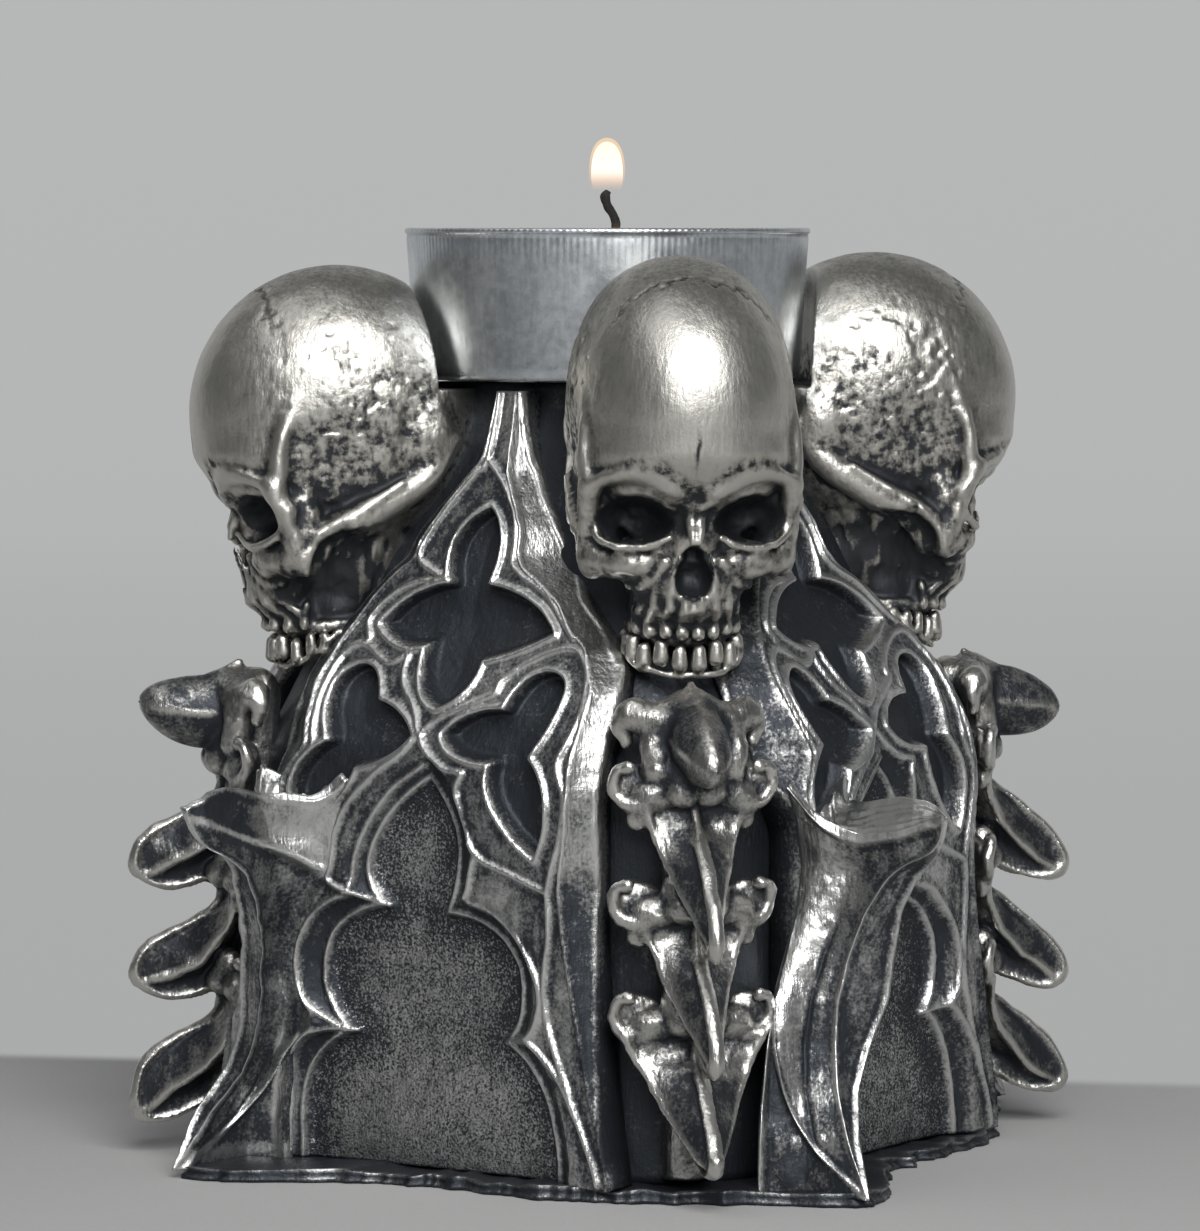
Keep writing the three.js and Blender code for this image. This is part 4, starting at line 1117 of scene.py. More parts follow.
# Buttress: (across, out) of the two edges of its nose and of its two roots at each height
buttressLook = {
    "rows": 165,
    "sideColumns": 60,
    "noseColumns": 26,
    "bottom": 0.8,
    "noseHeights": (0.8, 6, 10, 14, 18, 22, 26, 29, 30.5, 31.6, 33, 34.8, 37.5),
    "leftAcross": (-21.3, -20.5, -18.6, -17.6, -17.4, -16.7, -16.2, -15.5, -15.4, -15.6, -15.9, -16.2,
                   -16.2),
    "leftOut": (41.4, 38.9, 36.7, 35.9, 36.0, 36.7, 38.1, 39.8, 41.5, 44.3, 45.7, 46.2, 46.2),
    "rightAcross": (-21.0, -18.6, -16.0, -14.2, -12.9, -12.6, -12.5, -12.8, -13.3, -15.0, -15.5, -15.7,
                    -15.7),
    "rightOut": (41.5, 39.0, 37.4, 37.7, 38.8, 39.2, 39.9, 41.6, 43.2, 44.9, 45.9, 46.4, 46.4),
    "windowHeights": (0, 6, 10.5, 13, 16, 18, 21, 24, 27, 29, 32, 35, 38),
    "windowRoots": (-15.3, -15.2, -14.7, -13.8, -13.2, -14, -14, -12.8, -10.6, -10.1, -9.6, -8.9, -7.8),
    "windowReach": 31.7,
    "spineHeights": (0, 6, 10, 14, 18, 22, 26, 30, 34, 37),
    "spineRoots": (-23.4, -23.2, -22.5, -21.8, -20.5, -18.5, -16.6, -15.8, -16.8, -18.4),
    "spineReach": 31.2,
    "backReach": 26.8,
    "backShift": 7.0,
    "spineSwell": 0.7,
    "backTop": 32.5,
    "windowTopShares": (0, 0.05, 0.12, 0.35, 0.55, 0.7, 0.85, 1),
    "windowTops": (37.3, 35.7, 35.0, 35.3, 36.2, 36.7, 36.4, 35.0),
    "spineTopShares": (0, 0.05, 0.12, 0.2, 0.3, 0.45, 0.7, 1),
    "spineTops": (37.5, 36.5, 34.8, 33.6, 32.8, 32.4, 33.1, 34.9),
    "noseTop": 35.0,
    "wingLow": 28.0,
    "wingHigh": 34.4,
    "windowFootShares": (0, 0.26, 0.51, 0.75, 1),
    "windowFoots": (12.8, 8.2, 4.9, 2.6, 0.8),
    "spineFootShares": (0, 0.39, 0.6, 0.74, 0.9, 1),
    "spineFoots": (0.8, 4.4, 7.6, 10.2, 14, 18),
    "rimHalf": 0.55,
    "sink": 0.42,
    "recess": 0.9,
    "windowBow": 0.14,
    "spineBow": 0.07,
    "thinnest": 1.6,
    "sideShare": 0.4,
    "sideSpread": 0.6,
    "noseRoom": 0.8,
    "noseSlope": 1.2,
    "behindWing": 2.6,
    "edgeEven": 0.5,
    "shareEven": 0.02,
    "capRows": 24,
    "capSink": 0.35,
    "capLift": 0.8,
    "capShift": 0.5,
    "capWide": 4,
    "folds": 3,
    "foldRise": 1.1,
    "foldShift": 0.4,
    "capRub": 0.88,
    "foldRub": 0.3,
}
buttressEdges = {
    "noseLeft": ("noseHeights", "leftAcross", "leftOut"),
    "noseRight": ("noseHeights", "rightAcross", "rightOut"),
    "windowRoot": ("windowHeights", "windowRoots", "windowReach"),
    "spineRoot": ("spineHeights", "spineRoots", "spineReach"),
}


# Buttress side: a straight line from edge to edge at each height, bowed inward by the given depths
def bowedSide(start, end, share, depth):
    way = end - start
    inward = np.stack([-way[..., 1], way[..., 0]], axis=-1)
    inward = inward / np.maximum(np.linalg.norm(inward, axis=-1, keepdims=True), 1e-6)
    return start + way * share[..., None] + inward * depth[..., None]


# One edge of the section at the given heights; its reach is one value or one for each stop
def buttressEdge(look, name, up):
    heights, across, out = (look[key] for key in buttressEdges[name])
    reach = out + 0 * up if np.ndim(out) == 0 else evened(up, heights, out, look["edgeEven"])
    return np.stack([evened(up, heights, across, look["edgeEven"]), reach], axis=-1)


# The window side is kept clear of the line from the nose to the spine root, so that the wing has a thickness
def clearOfSpine(look, side, nose, root):
    share = (side[..., 1] - root[..., 1]) / (nose[..., 1] - root[..., 1])
    line = root[..., 0] + share * (nose[..., 0] - root[..., 0])
    side[..., 0] = np.maximum(side[..., 0], line + look["thinnest"] * smoothStep(1.02, 0.9, share))
    return side


# A side's depth is kept to a share of the room between the two sides, so that they never cross near the nose
def keptApart(look, depth, noseWidth, behind):
    return np.minimum(depth, look["sideShare"] * (noseWidth + look["sideSpread"] * behind))


# The bright rim along a side's lines and the dark gutter beside it, from the distance to the nearest line
def rimAndGutter(look, nearest):
    half = look["rimHalf"]
    return ridge(nearest, 0, half), ridge(nearest, 1.5 * half, half)


# Window side: from its root to the nose's right edge, with rims that mark off the wing, the foot and a hollow
def buttressWindowSide(look, climb):
    share = np.linspace(0, 1, look["sideColumns"])[None, :]
    bottom, half = look["bottom"], look["rimHalf"]
    top = evened(share, look["windowTopShares"], look["windowTops"], look["shareEven"])
    up = bottom + (top - bottom) * climb
    start, end = buttressEdge(look, "windowRoot", up), buttressEdge(look, "noseRight", up)
    noseLeft, spineRoot = buttressEdge(look, "noseLeft", up), buttressEdge(look, "spineRoot", up)
    length = np.linalg.norm(end - start, axis=-1)
    behind = (1 - share) * length
    wing = up - look["wingLow"] - (look["wingHigh"] - look["wingLow"]) * share
    foot = up - evened(share, look["windowFootShares"], look["windowFoots"], look["shareEven"])
    nearest = np.minimum.reduce([np.abs(wing) * 0.85, np.abs(foot) * 0.8, top - up, behind])
    rim, gutter = rimAndGutter(look, nearest)
    ends = smoothStep(0, 0.08, share) * smoothStep(1, 0.94, share)
    hollow = smoothStep(0, -0.5, wing) * smoothStep(0, 0.6, foot) + 0.4 * smoothStep(0, -0.5, foot)
    bow = look["windowBow"] * length * 4 * share * (1 - share)
    under = smoothStep(0.8, 3.0, top - up)
    depth = look["sink"] * (0.2 + 0.8 * under) + look["recess"] * hollow
    noseWidth = np.linalg.norm(end - noseLeft, axis=-1)
    depth = keptApart(look, bow + depth * (1 - rim) * ends, noseWidth, behind)
    depth = np.minimum(depth, look["noseSlope"] * np.clip(behind - look["noseRoom"], 0, None))
    side = clearOfSpine(look, bowedSide(start, end, share, depth), noseLeft, spineRoot)
    onWing = smoothStep(-0.3, 0.3, wing)
    # On the wing the face is brighter near its root, a painted highlight where it curves to face the lamp,
    # and darker towards its tip
    rubAndLight = 0.40 + onWing * (0.76 * smoothStep(0.72, 0.3, share) - 0.26) + 0.6 * rim - 0.22 * gutter
    jamb = ridge(share * length, half, half) * smoothStep(14, 12, up)
    sill = np.maximum(ridge(up, bottom + 1.2, 1.0), jamb)
    rubAndLight = rubAndLight - 0.06 * smoothStep(0, -0.6, foot) + 0.6 * sill + 0.25 * ridge(wing, 0, 1.2 * half)
    return side, up, rubAndLight


# Nose: a sunk flat between the rims of its right and left edges
def buttressNose(look, climb):
    share = np.linspace(0, 1, look["noseColumns"])[None, 1:-1]
    up = look["bottom"] + (look["noseTop"] - look["bottom"]) * climb + 0 * share
    start, end = buttressEdge(look, "noseRight", up), buttressEdge(look, "noseLeft", up)
    length = np.linalg.norm(end - start, axis=-1)
    rim, gutter = rimAndGutter(look, np.minimum(share, 1 - share) * length)
    nose = bowedSide(start, end, share + 0 * up, look["sink"] * (1 - rim))
    return nose, up, 0.46 + 0.55 * rim - 0.2 * gutter


# Spine side: from the nose's left edge to its root, with a crease up its middle and a hollow foot
def buttressSpineSide(look, climb):
    share = np.linspace(0, 1, look["sideColumns"])[None, :]
    bottom, half = look["bottom"], look["rimHalf"]
    top = evened(1 - share, look["spineTopShares"], look["spineTops"], look["shareEven"])
    up = bottom + (top - bottom) * climb
    start, end = buttressEdge(look, "noseLeft", up), buttressEdge(look, "spineRoot", up)
    length = np.linalg.norm(end - start, axis=-1)
    foot = up - evened(share, look["spineFootShares"], look["spineFoots"], look["shareEven"])
    rim, gutter = rimAndGutter(look, np.minimum.reduce([share * length, np.abs(foot) * 0.75, top - up]))
    crease = np.abs(share - 0.42) * length + 3 * smoothStep(24, 28, up)
    groove = ridge(crease, 0, 0.5) * smoothStep(0, 1, foot)
    bow = look["spineBow"] * length * 4 * share * (1 - share) * (1 - 0.75 * smoothStep(29, 32, up))
    hollow = look["recess"] * smoothStep(0, -0.6, foot)
    hollow = hollow * smoothStep(0, 0.1, share) * smoothStep(1, 0.9, share)
    swell = look["spineSwell"] * ridge(share, 0.82, 0.4)
    depth = bow - swell + look["sink"] * (1 - rim) + hollow + 0.25 * groove
    noseWidth = np.linalg.norm(start - buttressEdge(look, "noseRight", up), axis=-1)
    side = bowedSide(start, end, share, keptApart(look, depth, noseWidth, share * length))
    lit = smoothStep(0.35, 0.7, share) * smoothStep(0, 2, foot)
    rubAndLight = 0.48 + 0.30 * lit + 0.25 * smoothStep(0.9, 1, share) + 0.55 * rim - 0.2 * gutter - 0.3 * groove
    rubAndLight = rubAndLight - 0.2 * smoothStep(0, -0.6, foot) + 0.5 * ridge((1 - share) * length, 0, 1.3 * half)
    return side, up, rubAndLight


# Back of the buttress inside the core: two columns straight between its roots
def buttressBack(look, climb):
    up = look["bottom"] + (look["backTop"] - look["bottom"]) * climb
    back = np.concatenate([buttressEdge(look, name, up) for name in ("spineRoot", "windowRoot")], axis=1)
    back[:, 0, 0] += look["backShift"]
    back[..., 1] = look["backReach"]
    up = up + np.zeros((1, 2))
    return back, up, 0 * up


# Buttress section at each height: window side, nose, spine side and back, end to end
def buttressSurface(look):
    climb = np.linspace(0, 1, look["rows"])[:, None]
    makers = (buttressWindowSide, buttressNose, buttressSpineSide, buttressBack)
    sides = [make(look, climb) for make in makers]
    section, up, rubAndLight = (np.concatenate(parts, axis=1) for parts in zip(*sides))
    return np.concatenate([section, up[..., None]], axis=-1), rubAndLight


# The top of the buttress: folded rows from both sides in to a middle line, sunk behind the wing's root
def buttressCap(look, top):
    side, nose = look["sideColumns"], look["noseColumns"] - 2
    windowTop, spineTop = top[:side], top[side + nose:2 * side + nose][::-1]
    near = smoothStep(0.3, 0.06, np.linspace(0, 1, side))
    wide = np.clip(np.abs(windowTop[:, 0] - spineTop[:, 0]) / look["capWide"], 0, 1)
    middle = (windowTop + spineTop) / 2
    middle[:, 0] -= look["capShift"] * (1 - wide)
    middle[:, 2] += look["capLift"] * (1 - wide) - look["capSink"] - look["behindWing"] * near
    around = np.concatenate([np.arange(side), np.full(nose, side - 1), np.arange(side)[::-1], [0, 0]])
    shares = np.linspace(0, 1, look["capRows"] + 1)[1:]
    caps = top + (middle[around] - top) * shares[:, None, None]
    folds = 0.5 - 0.5 * np.cos(2 * math.pi * look["folds"] * shares)
    rise = look["foldRise"] * (folds * (1 - shares))[:, None]
    caps[..., 2] += rise * wide[around]
    caps[..., 0] -= look["foldShift"] * rise * (1 - wide[around])
    return caps, (look["capRub"] + look["foldRub"] * folds)[:, None] - 0.3 * near[around][None, :]


# Buttresses: the section's grid closed by its cap above and by its middle below
def addButtresses(look):
    grid, rubAndLight = buttressSurface(look)
    caps, capRub = buttressCap(look, grid[-1])
    floor = grid[:1].mean(axis=1, keepdims=True) + 0 * grid[:1]
    whole = np.concatenate([floor, grid, caps])
    points = whole.reshape(-1, 3) * np.array([1, -1, 1])
    marks = np.concatenate([rubAndLight[:1], rubAndLight, capRub]).ravel()
    faces = gridFaces(len(whole), whole.shape[1], wraps=True)[:, ::-1]
    for name, turn in faceTurns.items():
        wobble = 0.11 * lumps(points + turn, 1.9, 47) + 0.05 * lumps(points + turn, 0.7, 48)
        scuff = 0.18 * lumps(points + turn, 2.2, 49) + 0.12 * lumps(points * [1, 1, 0.35] + turn, 0.7, 50)
        place = points + wobble[:, None] * np.array([1, 1, 0])
        addPiece(f"buttress_cast_{name}", place, faces, tracerySilver, "holder",
                 [f"buttress_wing_{name}", f"buttress_foot_{name}"],
                 {"rubAndLight": marks + scuff, "grain": np.zeros(len(points))}, turn, weld=True)


addButtresses(buttressLook)

# Core: an eight-sided body with rounded corners, faces between the spines
coreLook = {
    "rows": 90,
    "columns": 180,
    "heights": (1.2, 38, 45.8, 52.5, 73.2),
    "faceReaches": (27.4, 27.4, 24.0, 20.6, 13.0),
    "spineReaches": (33.5, 33.5, 29.5, 26.0, 18.6),
    "evened": 1.5,
    "sides": 8,
    "roundness": 26,
}


# Core radius in a direction: one over the p-norm of each side's cosine divided by its reach
def addCore(look):
    rise = np.linspace(look["heights"][0], look["heights"][-1], look["rows"])[:, None]
    angle = np.linspace(0, 2 * math.pi, look["columns"], endpoint=False)[None, :]
    faces = evened(rise, look["heights"], look["faceReaches"], look["evened"])
    spines = evened(rise, look["heights"], look["spineReaches"], look["evened"])
    power = look["roundness"]
    total = 0
    for side in range(look["sides"]):
        reach = spines if side % 2 == 0 else faces
        facing = np.cos(angle - side * 2 * math.pi / look["sides"])
        total = total + (np.clip(facing, 0, None) / reach) ** power
    radius = total ** (-1 / power)
    x = radius * np.cos(angle)
    y = radius * np.sin(angle)
    grid = np.stack([x, y, np.broadcast_to(rise, x.shape)], axis=-1)
    ends = [grid[:1] * np.array([0, 0, 1]), grid, grid[-1:] * np.array([0, 0, 1])]
    points = np.concatenate(ends).reshape(-1, 3)
    points = points + 0.08 * lumps(points, 2.5, 5)[:, None] * np.array([1, 1, 0])
    quads = gridFaces(look["rows"] + 2, look["columns"], wraps=True)
    rubAndLight = 0.2 + 0.12 * lumps(points, 3.0, 6) + 0.14 * lumps(points * [1, 1, 0.4], 0.9, 7)
    addPiece("core_cast", points, quads, darkSilver, "holder", ["core_body"],
             {"rubAndLight": rubAndLight, "grain": np.zeros(len(points))}, weld=True)


addCore(coreLook)

# Base plate: reach of its ragged edge at each turn from a spine, repeated four times round
plateLook = {
    "turns": (-10, 0, 8, 14, 19, 24, 30, 40, 52, 63, 72, 80),
    "reaches": (37.8, 39.0, 41.0, 43.8, 46.4, 43.5, 38.4, 33.6, 33.0, 34.4, 37.0, 37.8),
    "columns": 900,
    "thick": 1.2,
    "ragged": 0.7,
    "rings": [(0.0, 0.0, 0), (0.99, 0.0, 0), (1.0, 0.05, 0.1), (1.0, 0.3, 0.3), (0.985, 0.6, 0.05),
              (0.995, 0.92, 0.45), (0.985, 1.0, 0.35), (0.95, 0.9, 0.05), (0.85, 0.95, 0.05), (0.6, 1.0, 0.1),
              (0.0, 1.0, 0.1)],
    "lumpReach": 46,
}


# Plate: rings of (share of the reach, share of the thickness, rub) carried round an edge whose reach follows
# the turn, with ragged lumps
def addPlate(look):
    angle = np.linspace(0, 360, look["columns"], endpoint=False)
    firstTurn = look["turns"][0]
    reach = evened((angle - firstTurn) % 90 + firstTurn, look["turns"], look["reaches"], 1.5)
    edge = np.stack([np.cos(np.radians(angle)), np.sin(np.radians(angle)), 0 * angle], axis=-1)
    edge = edge * look["lumpReach"]
    reach = reach - look["ragged"] * (0.6 + lumps(edge, 2.6, 71)) - 0.3 * lumps(edge, 0.8, 72)
    share, lift, rubAndLight = (column[:, None] for column in np.array(look["rings"]).T)
    rubAndLight = rubAndLight + 0.12 + 0.2 * lumps(edge, 1.5, 74)[None, :]
    lift = lift * look["thick"] * (1 + 0.3 * share * lumps(edge, 3.0, 73)[None, :])
    turn = np.radians(angle - 90)[None, :]
    grid = np.stack([share * reach * np.cos(turn), share * reach * np.sin(turn), lift + 0 * turn], axis=-1)
    points = grid.reshape(-1, 3)
    faces = gridFaces(len(look["rings"]), look["columns"], wraps=True)
    addPiece("plate_cast", points, faces, darkSilver, "holder", ["base_plate"],
             {"rubAndLight": rubAndLight.ravel(), "grain": np.zeros(len(points))}, weld=True)


addPlate(plateLook)
print("holder done")


# Turned shape: a profile of (radius, height) carried round the axis
def turnedPoints(profile, columns):
    profile = np.array(profile, float)
    angle = np.linspace(0, 2 * math.pi, columns, endpoint=False)[None, :]
    radius = profile[:, :1]
    return np.stack([radius * np.cos(angle), radius * np.sin(angle), profile[:, 1:] + 0 * angle], axis=-1)


# Foil cup: heights and radii of its wall and rolled lip, and the fine pleats under the lip
cupLook = {
    "seat": 73.5,
    "height": 14.3,
    "rim": 19.25,
    "base": 18.35,
    "wall": 0.25,
    "wallRows": 18,
    "roll": 0.3,
    "lipTurn": (-70, 170),
    "lipRows": 12,
    "pleats": 190,
    "pleatDepth": 0.02,
    "pleatFrom": 5,
    "crimp": 0.05,
    "columns": 760,
}


# Brushed foil: fine upright brushing, broad clouds and scuffs set its tone, and it is rougher towards the lip
def foilMaterial():
    material, tree, place = newMaterial("brushedFoil")
    along = addNode(tree, "ShaderNodeAttribute", {}, attribute_name="along").outputs["Fac"]
    fine = noiseAt(tree, place, 2200, 3, 0.6, (1, 1, 0.06))
    broad = noiseAt(tree, place, 260, 3, 0.5, (1, 1, 0.35))
    scuffs = noiseAt(tree, place, 900, 4, 0.65)
    tone = mathAt(tree, "MULTIPLY_ADD", fine, 0.15, mathAt(tree, "MULTIPLY", broad, 0.45))
    tone = mathAt(tree, "MULTIPLY_ADD", scuffs, 0.4, tone)
    colour = colourMix(tree, rangeAt(tree, tone, 0.36, 0.64, 0, 1), (0.54, 0.57, 0.60), (0.80, 0.83, 0.86))
    rough = mathAt(tree, "MULTIPLY_ADD", scuffs, 0.2, rangeAt(tree, along, 0, 1, 0.2, 0.28, "LINEAR"))
    finishShader(tree, {"Base Color": colour, "Metallic": 1.0, "Roughness": rough}, tone, 0.4, 0.0002)
    return material


# Cup: outer wall, rolled lip and inner wall turned round the axis; pleats fade in towards the lip
def addCup(look):
    seat, base, rim, tall, roll = (look[key] for key in ("seat", "base", "rim", "height", "roll"))
    wallUp = np.linspace(0.6, tall - 2 * roll - 0.4, look["wallRows"])
    outer = [(base + (rim - base) * up / tall, seat + up) for up in wallUp]
    lipTurn = np.radians(np.linspace(*look["lipTurn"], look["lipRows"]))
    rollMiddle = (rim - 0.2, seat + tall - roll)
    lip = [(rollMiddle[0] + roll * math.cos(turn), rollMiddle[1] + roll * math.sin(turn)) for turn in lipTurn]
    foot = [(0, seat), (base - 1.4, seat), (base - 0.9, seat + 0.25), (base - 0.5, seat),
            (base - 0.1, seat + 0.2)]
    inside = [(radius - look["wall"] - 0.1, height) for radius, height in outer[::-1]]
    profile = foot + outer + lip + inside + [(0, seat + look["wall"] + 0.3)]
    grid = turnedPoints(profile, look["columns"])
    angle = np.linspace(0, 2 * math.pi, look["columns"], endpoint=False)
    radius, height = np.array(profile).T[:, :, None]
    onWall = radius > look["pleatFrom"]
    along = np.clip((height - seat) / tall, 0, 1)
    pleat = np.cos(angle * look["pleats"])[None, :] * look["pleatDepth"]
    pleat = pleat * smoothStep(0.74, 0.88, along) * onWall
    crimp = np.cos(angle * 3 + 1)[None, :] * look["crimp"]
    scale = 1 + (pleat + crimp * onWall) / np.maximum(radius, 1)
    grid[..., :2] *= scale[..., None]
    grid[..., 2] += pleat * smoothStep(0.95, 0.99, along)
    points = grid.reshape(-1, 3)
    faces = gridFaces(len(profile), look["columns"], wraps=True)
    marks = np.broadcast_to(along, grid.shape[:2]).ravel()
    addPiece("cup_foil", points, faces, foilMaterial(), "tealight", ["tealight_cup"],
             {"along": marks}, weld=True)


addCup(cupLook)

# Wax: it fills the cup from its floor and dips inside its edge
waxLook = {
    "top": 85.6,
    "floor": 73.95,
    "radius": 18.3,
    "foot": 17.7,
    "dip": 0.5,
    "columns": 160,
}


# Candle wax: clouded, with light that goes a little way into it
def waxMaterial():
    material, tree, place = newMaterial("candleWax")
    cloud = noiseAt(tree, place, 180, 4, 0.5)
    colour = colourMix(tree, rangeAt(tree, cloud, 0.3, 0.7, 0, 1), (0.78, 0.74, 0.66), (0.88, 0.86, 0.80))
    finishShader(tree, {
        "Base Color": colour, "Roughness": rangeAt(tree, cloud, 0.3, 0.7, 0.25, 0.45),
        "Subsurface Weight": 0.4, "Subsurface Radius": (0.004, 0.003, 0.002),
    }, cloud, 0.1, 0.0005)
    return material


# Wax: a profile of (radius, height) turned round the axis, with a small rise at the wick
def addWax(look):
    floor, foot, radius, top = (look[key] for key in ("floor", "foot", "radius", "top"))
    pool = top - look["dip"]
    profile = [(0, floor), (foot - 0.5, floor), (foot, floor + 0.5), (radius, top - 0.6), (radius - 0.3, top),
               (radius - 2.5, top - 0.1), (radius - 4.0, pool), (6.0, pool), (1.6, pool + 0.05),
               (0.9, pool + 0.3), (0, pool + 0.3)]
    grid = turnedPoints(profile, look["columns"])
    faces = gridFaces(len(profile), look["columns"], wraps=True)
    addPiece("candle_wax", grid.reshape(-1, 3), faces, waxMaterial(), "tealight", ["tealight_wax"],
             weld=True)


addWax(waxLook)

# Wick: a round section carried along a bent path
wickLook = {
    "path": [(0, 0, 76.5), (0, 0, 84.5), (0.7, 0.1, 86.6), (0.85, 0.1, 87.8), (0.65, 0, 89.0),
             (0.0, -0.1, 90.0), (-0.15, -0.1, 90.8), (0.1, 0, 91.3)],
    "thick": (0.62, 0.62, 0.5, 0.45, 0.42, 0.45, 0.5, 0.3),
    "sides": 20,
    "turn": -12,
}


# Charred wick: brown where it leaves the wax and black above
def wickMaterial():
    material, tree, place = newMaterial("charredWick")
    char = noiseAt(tree, place, 3000, 4, 0.7)
    height = addNode(tree, "ShaderNodeSeparateXYZ", {"Vector": place}).outputs["Z"]
    burnt = rangeAt(tree, height, 0.0868, 0.0885, 0, 1)
    pale = colourMix(tree, char, (0.10, 0.045, 0.02), (0.28, 0.14, 0.06))
    black = colourMix(tree, char, (0.006, 0.005, 0.005), (0.03, 0.027, 0.025))
    colour = colourMix(tree, burnt, pale, black)
    finishShader(tree, {"Base Color": colour, "Roughness": 0.9}, char, 0.6, 0.0003)
    return material


# Tube: at each place of a path, a ring of its own radius square to the path, closed to a point at both ends
def sweptTube(path, thick, sides):
    path = smoothPath(path, 6)
    radii = np.interp(np.linspace(0, 1, len(path)), np.linspace(0, 1, len(thick)), thick)
    way = np.gradient(path, axis=0)
    way = way / np.linalg.norm(way, axis=1, keepdims=True)
    first = np.cross(way, [0.0, 1.0, 0.0])
    first = first / np.linalg.norm(first, axis=1, keepdims=True)
    second = np.cross(way, first)
    angle = np.linspace(0, 2 * math.pi, sides, endpoint=False)[None, :, None]
    ring = np.cos(angle) * first[:, None, :] + np.sin(angle) * second[:, None, :]
    grid = path[:, None, :] + ring * radii[:, None, None]
    return np.concatenate([path[:1, None] + 0 * grid[:1], grid, path[-1:, None] + 0 * grid[:1]])


# Wick: the tube with fine lumps
def addWick(look):
    grid = sweptTube(look["path"], look["thick"], look["sides"])
    points = grid.reshape(-1, 3)
    points = points + 0.06 * lumps(points, 0.45, 3)[:, None]
    faces = gridFaces(len(grid), look["sides"], wraps=True)
    addPiece("wick_burnt", points, faces, wickMaterial(), "tealight", ["wick"], turn=look["turn"],
             weld=True)


addWick(wickLook)

# Flame: two shells that stand on the wick's tip
flameLook = {
    "foot": 91.1,
    "tip": 96.3,
    "half": 1.75,
    "rows": 40,
    "columns": 48,
    "shells": {
        "flame_outer": {"size": 1.0, "edge": (1.0, 0.50, 0.24), "heart": (1.0, 0.72, 0.45),
                        "strength": 1.0, "solid": 0.5},
        "flame_core": {"size": 0.88, "edge": (1.0, 0.66, 0.42), "heart": (1.0, 0.95, 0.88),
                       "strength": 1.5, "solid": 0.97},
    },
}


# Flame glow: it fades to clear at its foot, and warms there
def flameMaterial(name, shell):
    material, tree, _ = newMaterial(name)
    height = addNode(tree, "ShaderNodeAttribute", {}, attribute_name="along").outputs["Fac"]
    warm = colourMix(tree, rangeAt(tree, height, 0.1, 0.45, 0, 1), shell["edge"], shell["heart"])
    glow = addNode(tree, "ShaderNodeEmission", {"Color": warm, "Strength": shell["strength"]})
    clear = addNode(tree, "ShaderNodeBsdfTransparent", {})
    solid = rangeAt(tree, height, 0.0, 0.85, 0.0, shell["solid"])
    shaders = {"Fac": solid, 1: clear.outputs["BSDF"], 2: glow.outputs["Emission"]}
    mix = addNode(tree, "ShaderNodeMixShader", shaders)
    addNode(tree, "ShaderNodeOutputMaterial", {"Surface": mix.outputs[0]})
    return material


# Flame: a blunt arch turned round the axis, radius half * (1 - s^4)^0.5 at share s of its height
def addFlame(look):
    share = 1 - (1 - np.linspace(0, 1, look["rows"])) ** 1.4
    for name, shell in look["shells"].items():
        tall = (look["tip"] - look["foot"]) * (0.4 + 0.6 * shell["size"])
        foot = 0.85 + 0.15 * smoothStep(0, 0.3, share)
        radius = look["half"] * shell["size"] * (1 - share ** 4) ** 0.5 * foot
        radius[[0, -1]] = 0
        profile = np.stack([radius, look["foot"] + 0.1 + tall * share], axis=-1)
        profile[0, 1] = look["foot"]
        grid = turnedPoints(profile, look["columns"])
        marks = np.broadcast_to(share[:, None], grid.shape[:2]).ravel()
        faces = gridFaces(look["rows"], look["columns"], wraps=True)
        addPiece(name, grid.reshape(-1, 3), faces, flameMaterial(name, shell), "tealight", [],
                 {"along": marks}, weld=True)


addFlame(flameLook)


# Tinplate: grey metal with a faint grain, for the wick's foot
def tinplateMaterial():
    material, tree, place = newMaterial("tinplate")
    tone = noiseAt(tree, place, 900, 3, 0.5)
    finishShader(tree, {
        "Base Color": colourMix(tree, tone, (0.42, 0.43, 0.44), (0.62, 0.63, 0.64)),
        "Metallic": 1.0, "Roughness": rangeAt(tree, tone, 0.3, 0.7, 0.25, 0.4),
    }, tone, 0.1, 0.0001)
    return material


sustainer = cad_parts["wick_sustainer"]
sustainer.data.materials.clear()
sustainer.data.materials.append(tinplateMaterial())
print("tea light done")

# Stage: a table that meets a sweep of paler backdrop just behind the holder
stageLook = {
    "turn": cameraTurn,
    "tableEdge": 0.045,
    "edgeBlur": 0.003,
    "edgeSlope": 0.17,
    "half": 2.2,
    "sweepStart": 1.1,
    "sweepRadius": 0.5,
    "wallTop": 2.4,
    "flatRows": 30,
    "sweepRows": 24,
    "wallRows": 10,
    "sideColumns": 20,
    "table": (0.50, 0.50, 0.495),
    "wall": (0.47, 0.475, 0.475),
}


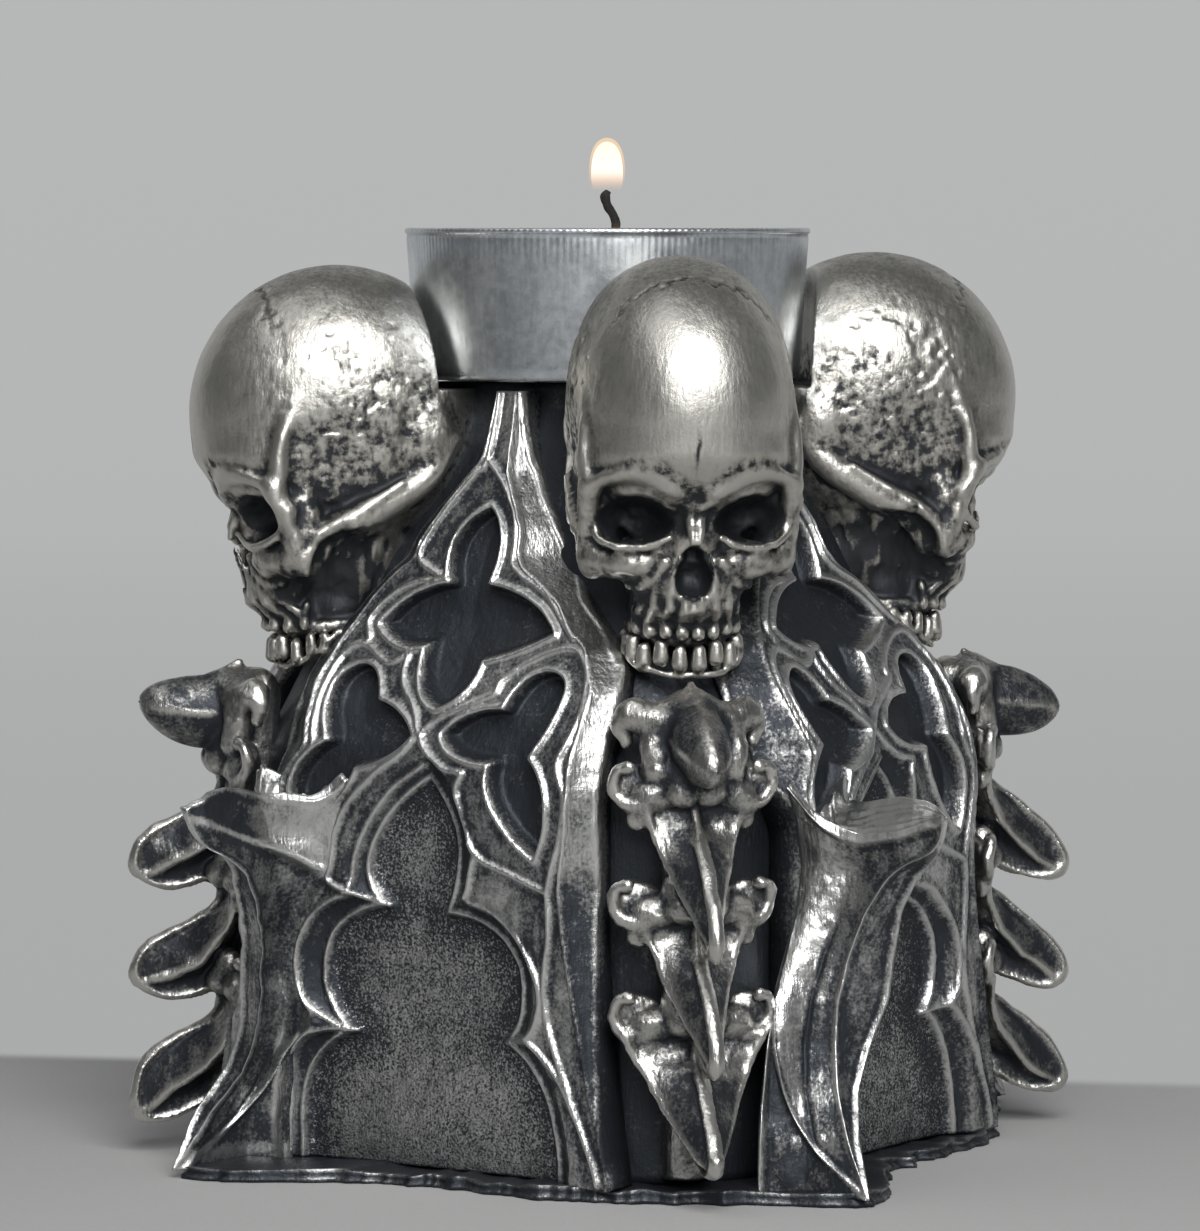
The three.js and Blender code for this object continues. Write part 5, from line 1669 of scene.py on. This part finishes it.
# Table and wall: the wall shows its own tone where it is seen straight or in a reflection, else it is plain
def stageMaterial(look):
    material, tree, place = newMaterial("tableAndWall")
    turn = math.radians(look["turn"])
    level = addNode(tree, "ShaderNodeMapping", {"Vector": place, "Rotation": (0, 0, -turn)}).outputs["Vector"]
    parts = addNode(tree, "ShaderNodeSeparateXYZ", {"Vector": level}).outputs
    line = mathAt(tree, "MULTIPLY_ADD", parts["X"], look["edgeSlope"], parts["Y"])
    edge, blur = look["tableEdge"], look["edgeBlur"]
    far = rangeAt(tree, line, edge - blur, edge + blur, 0, 1)
    weave = noiseAt(tree, place, 1600, 3, 0.7)
    darker = [0.93 * part for part in look["table"]]
    lighter = [1.07 * part for part in look["table"]]
    colour = colourMix(tree, far, colourMix(tree, weave, darker, lighter), look["wall"])
    bump = addNode(tree, "ShaderNodeBump", {"Height": weave, "Strength": 0.1, "Distance": 0.0002})
    matt = addNode(tree, "ShaderNodeBsdfPrincipled", {
        "Base Color": colour, "Roughness": 0.85, "Specular IOR Level": 0.1, "Normal": bump.outputs["Normal"]})
    shade = rangeAt(tree, parts["Y"], 0.05, 1.6, 0.86, 1.0)
    glow = addNode(tree, "ShaderNodeEmission", {"Color": (*look["wall"], 1), "Strength": shade})
    rays = addNode(tree, "ShaderNodeLightPath", {}).outputs
    seen = mathAt(tree, "MAXIMUM", rays["Is Camera Ray"], rays["Is Glossy Ray"])
    seen = mathAt(tree, "MAXIMUM", seen, rays["Is Transmission Ray"])
    seen = mathAt(tree, "MULTIPLY", far, seen)
    shaders = {"Fac": seen, 1: matt.outputs["BSDF"], 2: glow.outputs["Emission"]}
    mix = addNode(tree, "ShaderNodeMixShader", shaders)
    addNode(tree, "ShaderNodeOutputMaterial", {"Surface": mix.outputs[0]})
    return material


# Stage sweep: a flat run from front to back, a quarter round and an upright wall, carried across
def addStage(look):
    begin, radius = look["sweepStart"], look["sweepRadius"]
    bend = np.linspace(0, math.pi / 2, look["sweepRows"])[1:]
    flat = np.linspace(-look["half"], begin, look["flatRows"])
    wall = np.linspace(radius, look["wallTop"], look["wallRows"] + 1)[1:]
    run = np.concatenate([flat, begin + radius * np.sin(bend), 0 * wall + (begin + radius)])[:, None]
    rise = np.concatenate([0 * flat, radius * (1 - np.cos(bend)), wall])[:, None]
    side = np.linspace(-look["half"], look["half"], look["sideColumns"])[None, :]
    turn = math.radians(look["turn"])
    x = side * math.cos(turn) - run * math.sin(turn)
    y = side * math.sin(turn) + run * math.cos(turn)
    points = np.stack([x, y, rise + 0 * side], axis=-1).reshape(-1, 3)
    mesh = bpy.data.meshes.new("stage_sweep")
    mesh.from_pydata(points.tolist(), [], gridFaces(*x.shape).tolist())
    mesh.polygons.foreach_set("use_smooth", np.ones(len(mesh.polygons), bool))
    mesh.materials.append(stageMaterial(look))
    stage = bpy.data.objects.new("stage_sweep", mesh)
    bpy.context.scene.collection.objects.link(stage)


addStage(stageLook)

# Lamps: degrees round from the front and up, metres away and across, and watts
lightLook = {
    "key": {"turn": -2, "lift": 33, "far": 0.62, "size": 0.42, "watts": 3.4},
    "room": {"turn": -60, "lift": 65, "far": 1.2, "size": 1.0, "watts": 2.0},
}
lightMiddle = 0.055


# Lamps: round soft lights aimed at the middle of the holder
def addLights(look):
    middle = Vector((0, 0, lightMiddle))
    for name, lamp in look.items():
        turn, lift = math.radians(lamp["turn"]), math.radians(lamp["lift"])
        away = Vector((math.sin(turn) * math.cos(lift), -math.cos(turn) * math.cos(lift), math.sin(lift)))
        light = bpy.data.lights.new(f"{name}_light", "AREA")
        light.shape = "DISK"
        light.energy = lamp["watts"]
        light.size = lamp["size"]
        lampObject = bpy.data.objects.new(f"{name}_light", light)
        lampObject.location = middle + away * lamp["far"]
        lampObject.rotation_euler = away.to_track_quat("Z", "Y").to_euler()
        bpy.context.scene.collection.objects.link(lampObject)


addLights(lightLook)

# Room: a plain grey light from all round
worldLook = {
    "colour": (0.18, 0.185, 0.19, 1),
    "strength": 0.6,
}


# World: one background node carries the colour and the strength
def addWorld(look):
    world = bpy.data.worlds.new("studio")
    world.use_nodes = True
    background = world.node_tree.nodes["Background"].inputs
    background["Color"].default_value = look["colour"]
    background["Strength"].default_value = look["strength"]
    bpy.context.scene.world = world
    bpy.context.scene.view_settings.view_transform = "Standard"


addWorld(worldLook)

# Camera: place in degrees and metres, sensor in millimetres; the last four values are in pixels of the frame
cameraLook = {
    "turn": cameraTurn,
    "far": 0.550,
    "height": 0.0878,
    "nearClip": 0.01,
    "sensor": 36,
    "focal": 5742,
    "frame": (1200, 1231),
    "axisX": 607,
    "horizonY": 228,
}


# Camera: pan and tilt are the arctangents of the axis's and the horizon's offsets over the focal length
def addCamera(look):
    data = bpy.data.cameras.new("camera")
    data.sensor_width = look["sensor"]
    data.lens = look["focal"] * data.sensor_width / max(look["frame"])
    camera = bpy.data.objects.new("camera", data)
    turn = math.radians(look["turn"])
    camera.location = (math.sin(turn) * look["far"], -math.cos(turn) * look["far"], look["height"])
    pan = math.atan((look["axisX"] - look["frame"][0] / 2) / look["focal"])
    tilt = math.atan((look["frame"][1] / 2 - look["horizonY"]) / look["focal"])
    camera.rotation_euler = (math.pi / 2 - tilt, 0, turn + pan)
    data.clip_start = look["nearClip"]
    bpy.context.scene.collection.objects.link(camera)
    bpy.context.scene.camera = camera


addCamera(cameraLook)
print("stage, lights and camera ready")
